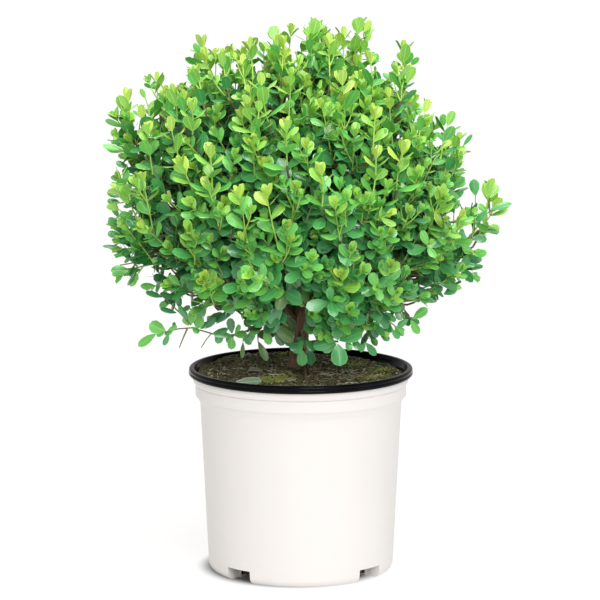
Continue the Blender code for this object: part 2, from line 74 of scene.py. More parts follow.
# %% [markdown]
# ## Light and floor
#
# The plant stands in a plain white studio. A bright even sky from all sides fills the
# shadows between the leaves, and two wide soft lamps give the leaves their shine and the
# pot its round shading. The floor is pale and glows evenly, with a painted shadow under the
# pot. Standard colour management keeps greens as fresh as they are mixed, where the
# film-like default would turn them grey.

# %% Light and floor
FLOOR_REACH = 15.0
SKY_COLOUR = (1.0, 0.955, 0.915, 1.0)
SKY_STRENGTH = 0.53

bpy.context.scene.view_settings.view_transform = "Standard"


def soft_lamp(name, place, aim, size, power, tint=(1.0, 1.0, 1.0)):
    """A square area lamp at a place, turned to face a point."""
    lamp = bpy.data.lights.new(name, "AREA")
    lamp.shape = "SQUARE"
    lamp.size = size
    lamp.energy = power
    lamp.color = tint
    obj = bpy.data.objects.new(name, lamp)
    obj.location = place
    obj.rotation_euler = (Vector(aim) - Vector(place)).to_track_quat("-Z", "Y").to_euler()
    bpy.context.scene.collection.objects.link(obj)


soft_lamp("key_lamp", (0.6, -2.6, 1.5), (0.0, 0.0, 0.3), 1.2, 44.0, (0.985, 0.99, 1.0))
soft_lamp("top_lamp", (0.12, -0.6, 2.6), (0.0, 0.0, 0.35), 1.8, 66.0, (0.97, 0.99, 1.0))

world = bpy.data.worlds.new("studio")
bpy.context.scene.world = world
world.use_nodes = True
sky = world.node_tree.nodes["Background"]
sky.inputs["Color"].default_value = SKY_COLOUR
sky.inputs["Strength"].default_value = SKY_STRENGTH

bm = bmesh.new()
bmesh.ops.create_circle(bm, cap_ends=True, radius=FLOOR_REACH, segments=64)
floor_mesh = bpy.data.meshes.new("floor")
bm.to_mesh(floor_mesh)
bm.free()
floor = bpy.data.objects.new("floor", floor_mesh)
bpy.context.scene.collection.objects.link(floor)

# %% [markdown]
# ## Writing materials as sums
#
# A node tree is easier to read as arithmetic. `Wire` holds one output socket. Adding or
# multiplying two wires adds a Math node, and `node` adds any other kind of node.

# %% A socket that can stand in a sum
class Wire:
    """One output socket of a material's nodes."""

    def __init__(self, tree, socket=None):
        self.tree = tree
        self.socket = socket

    def node(self, kind, settings=None, sockets=None, out=0):
        """Add a node: its settings first, then the values or wires of its sockets."""
        made = self.tree.nodes.new("ShaderNode" + kind)
        for name, value in (settings or {}).items():
            if name == "stops":
                fill_ramp(made.color_ramp, value)
            else:
                setattr(made, name, value)
        for name, value in (sockets or {}).items():
            if isinstance(value, Wire):
                self.tree.links.new(value.socket, made.inputs[name])
            else:
                made.inputs[name].default_value = value
        return Wire(self.tree, made.outputs[out])

    def math(self, operation, first, second):
        return self.node("Math", {"operation": operation}, {0: first, 1: second})

    def __add__(self, other):
        return self.math("ADD", self, other)

    def __radd__(self, other):
        return self.math("ADD", other, self)

    def __sub__(self, other):
        return self.math("SUBTRACT", self, other)

    def __rsub__(self, other):
        return self.math("SUBTRACT", other, self)

    def __mul__(self, other):
        return self.math("MULTIPLY", self, other)

    def __rmul__(self, other):
        return self.math("MULTIPLY", other, self)


def fill_ramp(ramp, stops):
    """Give a colour ramp its stops, as pairs of place and colour."""
    while len(ramp.elements) > 1:
        ramp.elements.remove(ramp.elements[-1])
    ramp.elements[0].position = stops[0][0]
    ramp.elements[0].color = stops[0][1]
    for place, colour in stops[1:]:
        ramp.elements.new(place).color = colour


# %% [markdown]
# ## The tools of the materials
#
# Every patterned finish here starts from Object coordinates, which are metres on the real
# thing, so a noise scale of 100 has lumps of about a centimetre.

# %% Helpers for materials
def new_material(name, colour=(0.8, 0.8, 0.8), roughness=0.5, coat=0.0, specular=0.5):
    """A material with its Principled shader, and a wire to build its nodes with."""
    material = bpy.data.materials.new(name)
    material.use_nodes = True
    shader = material.node_tree.nodes["Principled BSDF"]
    shader.inputs["Base Color"].default_value = (*colour, 1.0)
    shader.inputs["Roughness"].default_value = roughness
    shader.inputs["Coat Weight"].default_value = coat
    shader.inputs["Coat Roughness"].default_value = 0.22
    shader.inputs["Specular IOR Level"].default_value = specular
    return material, shader, Wire(material.node_tree)


def place_of(wire, stretch=(1.0, 1.0, 1.0)):
    """Object coordinates, squeezed or stretched along the axes."""
    here = wire.node("TexCoord", out=3)
    return wire.node("Mapping", sockets={"Vector": here, "Scale": stretch})


def noise_at(wire, vector, scale, detail=4.0, rough=0.55):
    """Cloudy noise from 0 to 1."""
    sockets = {"Vector": vector, "Scale": scale, "Detail": detail, "Roughness": rough}
    return wire.node("TexNoise", sockets=sockets)


def step_between(wire, value, low, high):
    """0 below low, 1 above high, and smooth between."""
    settings = {"interpolation_type": "SMOOTHSTEP"}
    sockets = {"Value": value, "From Min": low, "From Max": high}
    return wire.node("MapRange", settings, sockets)


def mixed(wire, share, first, second):
    """One colour turning into another as share goes from 0 to 1."""
    sockets = {"Factor": share, 6: first, 7: second}
    return wire.node("Mix", {"data_type": "RGBA"}, sockets, out=2)


def bumped(wire, height, distance, strength=1.0):
    sockets = {"Height": height, "Distance": distance, "Strength": strength}
    return wire.node("Bump", sockets=sockets)


def plug_in(shader, skin, roughness, normal):
    """Feed a shader's colour, its roughness and the lie of its surface."""
    for name, wire in (("Base Color", skin), ("Roughness", roughness), ("Normal", normal)):
        wire.tree.links.new(wire.socket, shader.inputs[name])


# %% The floor's paint
FLOOR_FADE = (0.4, 4.0)  # where the floor turns from its near to its far brightness
PAINTED_SHADOW_MIDDLE = (-0.0075, 0.004, 0.0)  # the middle of the painted shadow that the pot stands in
# where the painted shadow fades into the floor's glow
PAINTED_SHADOW_EDGE = (0.078, 0.101)


def paint_floor():
    """A pale floor that glows evenly, with a shadow painted dark right under the pot."""
    material, shader, wire = new_material("floor_paint", (0.15, 0.15, 0.15), 0.9, specular=0.0)
    here = place_of(wire)
    away = wire.node("VectorMath", {"operation": "LENGTH"}, {0: here}, out=1)
    fade = step_between(wire, away, *FLOOR_FADE)
    glow = mixed(wire, fade, (0.88, 0.875, 0.87, 1.0), (0.95, 0.95, 0.95, 1.0))
    # Painted shadow: the glow falls to near black in a soft disc round a point a little left of the
    # pot's middle.
    apart = wire.node("VectorMath", {"operation": "DISTANCE"}, {0: here, 1: PAINTED_SHADOW_MIDDLE}, out=1)
    glow = mixed(wire, step_between(wire, apart, *PAINTED_SHADOW_EDGE), (0.02, 0.02, 0.02, 1.0), glow)
    wire.tree.links.new(glow.socket, shader.inputs["Emission Color"])
    shader.inputs["Emission Strength"].default_value = 1.0
    floor.data.materials.append(material)


paint_floor()
print("floor painted")

# %% [markdown]
# ## White plastic
#
# The pot is blow-moulded white polythene, a little warm and a little see-through, with a
# satin skin. Close by, the skin has a fine orange peel, a few drag marks run round it
# from the stack it was pulled out of, and some dust from the mix clings near its foot.

# %% White plastic
def white_plastic():
    material, shader, wire = new_material("white_plastic", specular=0.45)
    here = place_of(wire)
    cloud = noise_at(wire, here, 14.0, 3.0)
    drag = noise_at(wire, place_of(wire, (40.0, 40.0, 900.0)), 1.0, 3.0)
    clean = mixed(wire, cloud, (0.735, 0.706, 0.684, 1.0), (0.780, 0.750, 0.727, 1.0))
    height = wire.node("SeparateXYZ", sockets={0: here}, out=2)
    foot = 1.0 - step_between(wire, height, 0.001, 0.010)
    dust = foot * step_between(wire, noise_at(wire, here, 90.0, 5.0), 0.45, 0.80)
    skin = mixed(wire, dust * 0.16, clean, (0.45, 0.39, 0.33, 1.0))
    roughness = 0.30 + cloud * 0.12 + drag * 0.10
    peel = noise_at(wire, here, 700.0, 2.0) + drag * 0.6
    plug_in(shader, skin, roughness, bumped(wire, peel, 0.00006, 0.6))
    return material


# %% [markdown]
# ## Black plastic
#
# The rolled lip is recycled black plastic. It is never quite black: its skin is finely
# grained, with a grey bloom and some brown dust where fingers and soil have rubbed it.

# %% Black plastic
def black_plastic():
    material, shader, wire = new_material("black_plastic", specular=0.07)
    here = place_of(wire)
    bloom = step_between(wire, noise_at(wire, here, 60.0, 6.0), 0.45, 0.8)
    dust = step_between(wire, noise_at(wire, here, 210.0, 8.0, 0.7), 0.60, 0.74)
    skin = mixed(wire, bloom, (0.0030, 0.0030, 0.0042, 1.0), (0.0065, 0.0065, 0.0085, 1.0))
    skin = mixed(wire, dust * 0.22, skin, (0.060, 0.045, 0.034, 1.0))
    roughness = 0.11 + bloom * 0.06 + dust * 0.3
    grain = noise_at(wire, here, 1300.0, 2.0)
    plug_in(shader, skin, roughness, bumped(wire, grain, 0.00004, 0.4))
    return material


# %% [markdown]
# ## Turned shapes
#
# Pot, lip and potting mix are round, so each is a profile of radius and height spun once
# round Z. `spin` leaves its last copy on top of the first, which `use_merge` joins, and the
# points on the axis are merged too before the faces are turned to point outwards.

# %% Spin a profile
SPIN_STEPS = 144


def arc(centre, radius, start, end, steps):
    """Points along an arc of a profile, from one angle to another in degrees."""
    angles = [math.radians(start + (end - start) * i / steps) for i in range(steps + 1)]
    return [(centre[0] + radius * math.cos(a), centre[1] + radius * math.sin(a)) for a in angles]


def object_from(bm, name, *materials):
    mesh = bpy.data.meshes.new(name)
    bm.to_mesh(mesh)
    bm.free()
    for material in materials:
        mesh.materials.append(material)
    obj = bpy.data.objects.new(name, mesh)
    bpy.context.scene.collection.objects.link(obj)
    return obj


def turned(profile, closed=False):
    """A bmesh of a profile spun round Z."""
    bm = bmesh.new()
    points = [bm.verts.new((radius, 0.0, height)) for radius, height in profile]
    pairs = list(zip(points, points[1:]))
    if closed:
        pairs.append((points[-1], points[0]))
    edges = [bm.edges.new(pair) for pair in pairs]
    bmesh.ops.spin(
        bm,
        geom=points + edges,
        cent=(0, 0, 0),
        axis=(0, 0, 1),
        angle=math.tau,
        steps=SPIN_STEPS,
        use_merge=True,
    )
    bmesh.ops.remove_doubles(bm, verts=bm.verts[:], dist=1e-6)
    bmesh.ops.recalc_face_normals(bm, faces=bm.faces[:])
    return bm


def finish_piece(obj, slot, *nodes, angle=35.0):
    """Shade a piece, let it ride with the plant, and hide the CAD nodes that it stands for.
    Its slot, the name of its finish, is not used.
    """
    obj.data.shade_smooth()
    if angle:
        obj.data.set_sharp_from_angle(angle=math.radians(angle))
    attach(obj, "root")
    if nodes:
        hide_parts(*nodes)
    print(obj.name, "triangles:", sum(len(p.vertices) - 2 for p in obj.data.polygons))
    return obj


# %% [markdown]
# ## The pot's wall
#
# The wall is thin, and it steps out twice under the lip: first a shoulder, then a collar
# that stiffens the mouth. Four drain pockets are pushed in at the corner of the base. They
# are cut with boxes, where the cavity keeps a wall round each pocket, as the mould does.

# %% Sizes of the pot
GAP = 0.0003  # between neighbouring solids
POT_HEIGHT = 0.206
RIM_RADIUS = 0.114
RIM_BEAD = 0.0078
COLLAR_RADIUS = 0.106
SHOULDER_RADIUS = 0.1012
SHOULDER_HEIGHT = 0.172
BASE_RADIUS = 0.0932
BASE_CORNER = 0.0075
WALL = 0.0012
POCKET_TURN = math.radians(48.0)
POCKET_DEPTH = 0.018
POCKET_WIDTH = 0.030
POCKET_HEIGHT = 0.0135
POCKET_WALL = 0.0016
POCKET_BELOW = -0.004  # where its cutter starts, under the pot
SLOT_WIDTH = 0.014
SLOT_DEPTH = 0.007
SKIRT_RADIUS = COLLAR_RADIUS - WALL - GAP - 0.0010  # inside the lip's skirt


def slope_radius(height):
    """The plain wall's outer radius at a height."""
    share = (height - BASE_CORNER) / (SHOULDER_HEIGHT - BASE_CORNER)
    return BASE_RADIUS + (SHOULDER_RADIUS - BASE_RADIUS) * share


def boxes_round(name, inner, outer, width, low, high):
    """A hidden cutter box at each of the four drain pockets."""
    bm = bmesh.new()
    size = Matrix.Diagonal((outer - inner, width, high - low, 1.0))
    place = Matrix.Translation(((outer + inner) / 2, 0.0, (high + low) / 2))
    for k in range(4):
        turn = Matrix.Rotation(POCKET_TURN + math.tau * k / 4, 4, "Z")
        made = bmesh.ops.create_cube(bm, size=1.0)["verts"]
        bmesh.ops.transform(bm, matrix=turn @ place @ size, verts=made)
    return object_from(bm, name)


def carve(obj, cutter):
    """Cut a shape out of an object, and throw the cutter away."""
    modifier = obj.modifiers.new("cut", "BOOLEAN")
    modifier.operation = "DIFFERENCE"
    modifier.solver = "EXACT"
    modifier.object = cutter
    cut = obj.evaluated_get(bpy.context.evaluated_depsgraph_get())
    mesh = bpy.data.meshes.new_from_object(cut)
    obj.modifiers.clear()
    obj.data = mesh
    bpy.data.objects.remove(cutter)


# %% Pot wall
def build_wall():
    crest = POT_HEIGHT - RIM_BEAD - GAP
    flat = BASE_RADIUS - BASE_CORNER
    outside = [
        (0.0, 0.0),
        *arc((flat, BASE_CORNER), BASE_CORNER, -90.0, 0.0, 8),
        (SHOULDER_RADIUS, SHOULDER_HEIGHT - 0.0020),
        (SHOULDER_RADIUS + 0.0005, SHOULDER_HEIGHT - 0.0004),
        (COLLAR_RADIUS - 0.0018, 0.1766),
        (COLLAR_RADIUS - 0.0014, 0.1777),
        (COLLAR_RADIUS - 0.0002, 0.1780),
        (COLLAR_RADIUS, 0.1785),
        (COLLAR_RADIUS, 0.1893),
        (COLLAR_RADIUS - 0.0004, 0.1896),
        (COLLAR_RADIUS - 0.0004, 0.1901),
        (COLLAR_RADIUS + 0.0010, 0.1904),
        (COLLAR_RADIUS + 0.0018, 0.1915),
        (COLLAR_RADIUS + 0.0023, 0.1935),
        (COLLAR_RADIUS + 0.0023, crest),
        (0.0, crest),
    ]
    floor_level = 0.0022
    corner = BASE_CORNER - WALL
    inside = [
        (0.0, floor_level),
        (flat, floor_level),
        (flat + 0.6 * corner, floor_level + 0.3 * corner),
        (BASE_RADIUS - WALL, floor_level + corner),
        (SHOULDER_RADIUS - WALL, SHOULDER_HEIGHT),
        (COLLAR_RADIUS - WALL, 0.1797),
        (COLLAR_RADIUS - WALL, POT_HEIGHT + 0.01),
        (0.0, POT_HEIGHT + 0.01),
    ]
    cavity = object_from(turned(inside), "cavity")
    pocket = BASE_RADIUS - POCKET_DEPTH
    wide, high = POCKET_WIDTH + 2 * POCKET_WALL, POCKET_HEIGHT + POCKET_WALL
    walls = (pocket - POCKET_WALL, RIM_RADIUS, wide, POCKET_BELOW, high)
    carve(cavity, boxes_round("pocket_walls", *walls))
    wall = object_from(turned(outside), "pot_body", white_plastic())
    carve(wall, cavity)
    space = (pocket, RIM_RADIUS, POCKET_WIDTH, POCKET_BELOW, POCKET_HEIGHT)
    carve(wall, boxes_round("pockets", *space))
    middle = BASE_RADIUS - POCKET_DEPTH / 2
    inner, outer = middle - SLOT_DEPTH / 2, middle + SLOT_DEPTH / 2
    carve(wall, boxes_round("slots", inner, outer, SLOT_WIDTH, 0.0119, 0.0167))
    carve(wall, boxes_round("mouths", 0.048, pocket + 0.002, 0.0264, POCKET_BELOW, 0.0124))
    finish_piece(wall, "white_plastic", "pot_wall")


build_wall()

# %% [markdown]
# ## The lip
#
# A rolled bead sits on top of the wall, with a thin skirt down inside. The roll has two
# beads with a fine groove between them. Its section is drawn once as a closed loop and
# spun, and the arcs catch two long thin highlights.

# %% Black lip
def build_lip():
    low = POT_HEIGHT - RIM_BEAD
    lower, upper = 0.0022, 0.0024  # the two beads of the roll
    out = RIM_RADIUS - 0.0012
    profile = [
        *arc((out - 0.0027, POT_HEIGHT - upper), upper, -35.0, 90.0, 9),
        *arc((out - 0.0044, POT_HEIGHT - 0.0014), 0.0014, 90.0, 180.0, 5),
        (SKIRT_RADIUS + 0.0012, POT_HEIGHT - 0.0050),
        (SKIRT_RADIUS, POT_HEIGHT - 0.0070),
        (SKIRT_RADIUS, 0.1815),
        (SKIRT_RADIUS + 0.0010, 0.1815),
        (SKIRT_RADIUS + 0.0010, low),
        *arc((out - lower, low + lower), lower, -90.0, 40.0, 8),
    ]
    lip = object_from(turned(profile, closed=True), "pot_lip", black_plastic())
    finish_piece(lip, "black_plastic", "pot_rim")


build_lip()

# %% [markdown]
# ## Potting mix
#
# Nursery mix is peat with composted bark. Its surface is a turned disc whose points are
# lifted by noise at two scales, slow hollows and small clods, and the colour runs from
# wet near-black to dry brown with the same kind of noise, with a green film of algae. The
# mix fills the pot down to its floor, where it shows dark behind the drain holes.

# %% Potting mix
MIX_LEVEL = 0.1990  # at the middle of the pot
MIX_SLOPE = (-0.022, 0.028)  # it rises to the left and to the back
MIX_MOUNDS = (  # across, deep, size, height
    (0.0, 0.004, 0.030, 0.0055),
    (-0.055, 0.080, 0.024, 0.0016),
)
MIX_RINGS = 64


def mix_height(x, y):
    """The surface of the mix: it slopes, and has mounds, hollows and clods."""
    level = MIX_LEVEL + x * MIX_SLOPE[0] + y * MIX_SLOPE[1]
    for across, deep, size, height in MIX_MOUNDS:
        away = math.hypot(x - across, y - deep) / size
        level += height * math.exp(-away * away)
    hollows = noise.noise(Vector((x * 38.0, y * 38.0, 1.3))) * 0.0016
    clods = noise.noise(Vector((x * 210.0, y * 210.0, 5.1))) * 0.0012
    grit = noise.noise(Vector((x * 700.0, y * 700.0, 9.7))) * 0.0005
    return level + hollows + clods + grit


def mix_material():
    material, shader, wire = new_material("potting_mix", specular=0.25)
    here = place_of(wire)
    damp = noise_at(wire, here, 45.0, 5.0)
    crumb = noise_at(wire, here, 420.0, 8.0, 0.7)
    stops = (
        (0.34, (0.036, 0.034, 0.017, 1.0)),
        (0.50, (0.120, 0.112, 0.058, 1.0)),
        (0.62, (0.270, 0.240, 0.135, 1.0)),
        (0.78, (0.480, 0.430, 0.290, 1.0)),
    )
    dry = wire.node("ValToRGB", {"stops": stops}, {0: crumb * 0.75 + damp * 0.25})
    green = step_between(wire, noise_at(wire, here, 70.0, 6.0, 0.7), 0.46, 0.66)
    skin = mixed(wire, green * 0.45, dry, (0.130, 0.180, 0.052, 1.0))
    plug_in(shader, skin, 0.95 - damp * 0.25, bumped(wire, crumb, 0.0012, 0.9))
    return material


def build_mix():
    side = SKIRT_RADIUS - GAP
    profile = [(0.0, 0.0035), (0.0715, 0.0035), (0.0715, 0.0180), (0.0895, 0.0180)]
    profile += [(SHOULDER_RADIUS - WALL - 0.001, 0.170), (side, 0.1782)]
    profile += [(side * (1.0 - k / MIX_RINGS), 0.2) for k in range(MIX_RINGS + 1)]
    bm = turned(profile)
    for vertex in bm.verts:
        if vertex.co.z > 0.19:
            vertex.co.z = mix_height(vertex.co.x, vertex.co.y)
    mix = object_from(bm, "potting_mix_top", mix_material())
    finish_piece(mix, "potting_mix", "soil", angle=0)


build_mix()

# %% [markdown]
# ## Many small things in one mesh
#
# Crumbs, leaves and twigs come in thousands. Each kind is one small template of points and
# triangles, and one array holds where every copy goes. `heap_of` multiplies the two and
# makes a single mesh, with the colours dealt out as material slots.

# %% Join copies of a template
SEED = 7


def heap_of(name, points, faces, slots, materials):
    """One object from copies of a template: points (copies, n, 3), faces (m, 3), and a
    slot for each copy, or for each face of each copy."""
    copies, count = points.shape[0], points.shape[1]
    shifts = np.arange(copies)[:, None, None] * count
    all_faces = (faces[None, :, :] + shifts).reshape(-1, 3)
    if slots.ndim == 1:
        slots = np.repeat(slots, len(faces))
    return mesh_of(name, points.reshape(-1, 3), all_faces, slots.ravel(), materials)


def mesh_of(name, points, faces, slots, materials):
    mesh = bpy.data.meshes.new(name)
    mesh.vertices.add(len(points))
    mesh.vertices.foreach_set("co", np.asarray(points, np.float32).ravel())
    mesh.loops.add(faces.size)
    mesh.loops.foreach_set("vertex_index", np.asarray(faces, np.int32).ravel())
    mesh.polygons.add(len(faces))
    mesh.polygons.foreach_set("loop_start", np.arange(0, faces.size, 3, dtype=np.int32))
    mesh.polygons.foreach_set("material_index", np.asarray(slots, np.int32))
    mesh.update(calc_edges=True)
    mesh.validate()
    for material in materials:
        mesh.materials.append(material)
    obj = bpy.data.objects.new(name, mesh)
    bpy.context.scene.collection.objects.link(obj)
    return obj


def lump_template():
    """A twenty-sided lump, as arrays of points and triangles."""
    bm = bmesh.new()
    bmesh.ops.create_icosphere(bm, subdivisions=1, radius=1.0)
    points = np.array([vertex.co[:] for vertex in bm.verts])
    faces = np.array([[vertex.index for vertex in face.verts] for face in bm.faces])
    bm.free()
    return points, faces


# %% [markdown]
# ## Crumbs, bark chips and moss on the mix
#
# Loose crumbs break the surface up. Most are dark peat, some are brown chips of bark, and
# a few are pale grit. Moss has settled in patches, most of it at the front and the right.

# %% Crumbs and moss
CRUMBS = 4600
CRUMB_COLOURS = (
    (0.044, 0.040, 0.021),
    (0.130, 0.115, 0.060),
    (0.250, 0.200, 0.115),
    (0.440, 0.370, 0.240),
    (0.740, 0.690, 0.560),
)
CRUMB_SHARES = (0.38, 0.31, 0.18, 0.10, 0.03)
MIX_REACH = SKIRT_RADIUS - 0.003
MOSS_PATCHES = (  # across, deep, size
    (-0.020, -0.034, 0.009),
    (-0.032, -0.044, 0.006),
    (-0.016, 0.095, 0.006),
    (0.070, -0.012, 0.012),
    (0.082, 0.022, 0.009),
    (0.049, 0.046, 0.010),
)
MOSS_COLOURS = ((0.120, 0.175, 0.035), (0.250, 0.330, 0.060), (0.450, 0.480, 0.120))


def lumps_on_mix(rng, spots, sizes, flat):
    """Turned and squashed lumps that sit on the mix at the given spots."""
    points, _ = lump_template()
    copies = []
    for (x, y), size in zip(spots, sizes):
        stretch = [rng.uniform(0.8, 1.7), rng.uniform(0.6, 1.1), rng.uniform(0.4, 0.9) * flat]
        turn = Matrix.Rotation(rng.uniform(0, math.tau), 3, "Z")
        turn = turn @ Matrix.Rotation(rng.uniform(-0.6, 0.6), 3, "X")
        uneven = 1.0 + rng.uniform(-0.25, 0.25, (len(points), 1))
        lump = (points * uneven * stretch * size) @ np.array(turn).T
        copies.append(lump + (x, y, mix_height(x, y) + size * 0.25))
    return np.array(copies)


def dull_paints(name, colours):
    return [new_material(f"{name}_{i}", c, 0.9, specular=0.2)[0] for i, c in enumerate(colours)]


def build_crumbs():
    rng = np.random.default_rng(SEED)
    angles = rng.uniform(0, math.tau, CRUMBS)
    radii = MIX_REACH * np.sqrt(rng.uniform(0, 1, CRUMBS))
    spots = np.stack([radii * np.cos(angles), radii * np.sin(angles)], axis=1)
    sizes = 0.0004 + 0.0013 * rng.uniform(0, 1, CRUMBS) ** 4
    points = lumps_on_mix(rng, spots, sizes, 1.0)
    slots = rng.choice(len(CRUMB_COLOURS), CRUMBS, p=CRUMB_SHARES)
    paints = dull_paints("crumb", CRUMB_COLOURS)
    crumbs = heap_of("mix_crumbs", points, lump_template()[1], slots, paints)
    finish_piece(crumbs, "potting_mix", angle=0)


def moss_spots(rng):
    """Places in the patches, closer together towards the middle of each."""
    spots = []
    for x, y, size in MOSS_PATCHES:
        for _ in range(int(60 + size * 9000)):
            away = size * abs(rng.normal(0, 0.6))
            turn = rng.uniform(0, math.tau)
            spot = (x + away * math.cos(turn) * 1.5, y + away * math.sin(turn))
            if math.hypot(*spot) < MIX_REACH:
                spots.append(spot)
    return spots


def build_moss():
    rng = np.random.default_rng(SEED + 1)
    spots = moss_spots(rng)
    points = lumps_on_mix(rng, spots, rng.uniform(0.0004, 0.0011, len(spots)), 1.3)
    slots = rng.choice(len(MOSS_COLOURS), len(spots), p=(0.3, 0.45, 0.25))
    paints = dull_paints("moss", MOSS_COLOURS)
    moss = heap_of("moss", points, lump_template()[1], slots, paints)
    finish_piece(moss, "foliage", angle=0)


build_crumbs()
build_moss()

# %% [markdown]
# ## The lines of trunk and boughs
#
# The visible limbs follow the same rules as the solids: one bent line for the trunk, and a
# bough to the middle of each of the crown's masses, which leave the trunk one above the
# other. The rules are written again here with the same numbers.

# %% The rules of growth
UP = Vector((0.0, 0.0, 1.0))
TRUNK_FOOT = Vector((-0.004, 0.006, 0.1993))
TRUNK_TIP = Vector((0.003, 0.000, 0.352))
TRUNK_BEND = Vector((0.0045, -0.0030, 0.0))
TRUNK_RADIUS = 0.0078
TRUNK_TIP_RADIUS = 0.0030
FIRST_BOUGH = 0.242
LAST_BOUGH = 0.338
BOUGH_ENDS = 0.45  # share of the outline
BOUGH_SHARE = 0.60  # of the trunk's radius, where a bough leaves it
BOUGH_BOW = 0.10  # over the bough's length
CROWN_CENTRE = Vector((0.0, 0.0, 0.384))
CROWN_RADII = Vector((0.186, 0.182, 0.168))
CROWN_LOBES = (  # azimuth, elevation, size, spread
    (175.0, 24.0, 0.014, 26.0),
    (190.0, -14.0, 0.008, 24.0),
    (-4.0, -16.0, 0.010, 22.0),
    (10.0, 38.0, -0.015, 20.0),
    (80.0, 20.0, 0.008, 30.0),
    (265.0, -30.0, 0.006, 30.0),
)
MASS_RINGS = (  # ring, masses, elevation, first azimuth
    ("low", 5, -31.0, 18.0),
    ("middle", 6, 8.0, 30.0),
    ("high", 4, 50.0, 20.0),
    ("top", 1, 90.0, 0.0),
)


def direction(azimuth, elevation):
    a, e = math.radians(azimuth), math.radians(elevation)
    return Vector((math.cos(a) * math.cos(e), math.sin(a) * math.cos(e), math.sin(e)))


def crown_reach(way):
    """How far the crown's outline is from its centre, along a unit vector."""
    a, b, c = CROWN_RADII
    reach = 1.0 / math.sqrt((way.x / a) ** 2 + (way.y / b) ** 2 + (way.z / c) ** 2)
    for azimuth, elevation, size, spread in CROWN_LOBES:
        off = math.degrees(way.angle(direction(azimuth, elevation)))
        reach += size * math.exp(-((off / spread) ** 2))
    return reach


def crown_share(point):
    """How far out a point is: 0 in the crown's middle and 1 on its outline."""
    out = point - CROWN_CENTRE
    return out.length / crown_reach(out.normalized())


def masses():
    """Each mass's name and the direction of its middle."""
    found = []
    for ring, count, elevation, first in MASS_RINGS:
        for k in range(count):
            name = ring if count == 1 else f"{ring}_{k + 1}"
            found.append((name, direction(first + 360.0 * k / count, elevation)))
    return found


def trunk_point(share):
    return TRUNK_FOOT.lerp(TRUNK_TIP, share) + TRUNK_BEND * math.sin(math.pi * share)


def trunk_radius(share):
    return TRUNK_RADIUS + (TRUNK_TIP_RADIUS - TRUNK_RADIUS) * max(0.0, share) ** 1.2


def curve_points(start, bend, end, spans):
    shares = [i / spans for i in range(spans + 1)]
    return [start.lerp(bend, s).lerp(bend.lerp(end, s), s) for s in shares]


def bough_lines(spans):
    """Each bough's points and its radius where it leaves the trunk."""
    order = []
    for ring, _, _, _ in MASS_RINGS:
        own = [m for m in masses() if m[0].startswith(ring)]
        order += own[0::2] + own[1::2]
    lines = {}
    for i, (name, way) in enumerate(order):
        height = FIRST_BOUGH + (LAST_BOUGH - FIRST_BOUGH) * i / (len(order) - 2)
        share = min(1.0, (height - TRUNK_FOOT.z) / (TRUNK_TIP.z - TRUNK_FOOT.z))
        start = trunk_point(share)
        end = CROWN_CENTRE + way * crown_reach(way) * BOUGH_ENDS
        bow = Vector((way.x, way.y, -0.8)) * BOUGH_BOW * (end - start).length
        line = curve_points(start, start.lerp(end, 0.5) + bow, end, spans)
        lines[name] = (line, trunk_radius(share) * BOUGH_SHARE)
    return lines


print("masses:", len(masses()), "boughs:", len(bough_lines(4)))

# %% [markdown]
# ## Bark
#
# Young boxwood bark is tan to reddish brown and splits into thin upright ridges. A limb
# starts as a ring of points, which is extruded along its line ring by ring. Then noise that
# is stretched along the limb lifts the ridges, and the same value is kept on each point, so
# that the fissures are darker than the ridges beside them.

# %% Limbs with relief
def frames_along(centres):
    """A turned frame at each point of a line, that never twists about it."""
    last = len(centres) - 1
    across = None
    for i, centre in enumerate(centres):
        along = (centres[min(i + 1, last)] - centres[max(i - 1, 0)]).normalized()
        if across is None:
            across = along.orthogonal()
        across = (across - along * across.dot(along)).normalized()
        yield centre, along, across, along.cross(across)


def add_limb(bm, centres, radii, sides, depth, offset, ridge=None):
    """A limb through a list of centres, closed at both ends, with bark relief."""
    layer = bm.verts.layers.float.get("fissure") or bm.verts.layers.float.new("fissure")
    made = bmesh.ops.create_circle(bm, cap_ends=True, radius=1.0, segments=sides)["verts"]
    angles = {v: math.atan2(v.co.y, v.co.x) for v in made}
    ring, travelled, before = made, 0.0, Matrix.Identity(4)
    edges = [e for e in {e for v in made for e in v.link_edges}]
    shaped = []
    previous = centres[0]
    for i, (centre, along, across, other) in enumerate(frames_along(centres)):
        travelled += (centre - previous).length
        previous = centre
        if i:
            grown = bmesh.ops.extrude_edge_only(bm, edges=edges)["geom"]
            fresh = [g for g in grown if isinstance(g, bmesh.types.BMVert)]
            edges = [g for g in grown if isinstance(g, bmesh.types.BMEdge)]
            edges = [e for e in edges if e.verts[0] in fresh and e.verts[1] in fresh]
            back = before.inverted()
            for v in fresh:
                local = back @ v.co
                angles[v] = math.atan2(local.y, local.x)
            ring = fresh
        turn = Matrix((across, other, along)).transposed().to_4x4()
        now = Matrix.Translation(centre) @ turn @ Matrix.Diagonal((radii[i], radii[i], 1.0, 1.0))
        bmesh.ops.transform(bm, matrix=now @ before.inverted(), verts=ring)
        before = now
        shaped += [(v, centre, angles[v], travelled, radii[i], i) for v in ring]
    bmesh.ops.holes_fill(bm, edges=edges, sides=0)
    for v, centre, angle, far, radius, i in shaped:
        spot = Vector((math.cos(angle) * 1.6, math.sin(angle) * 1.6, far * 42.0 + offset))
        fine = Vector((math.cos(angle) * 4.5, math.sin(angle) * 4.5, far * 150.0 + offset))
        lift = noise.noise(spot) + 0.55 * noise.noise(fine)
        v[layer] = min(1.0, max(0.0, 0.5 - lift))
        grow = 1.0 + depth * lift
        if ridge:
            grow *= ridge(i, angle)
        v.co = centre + (v.co - centre) * grow


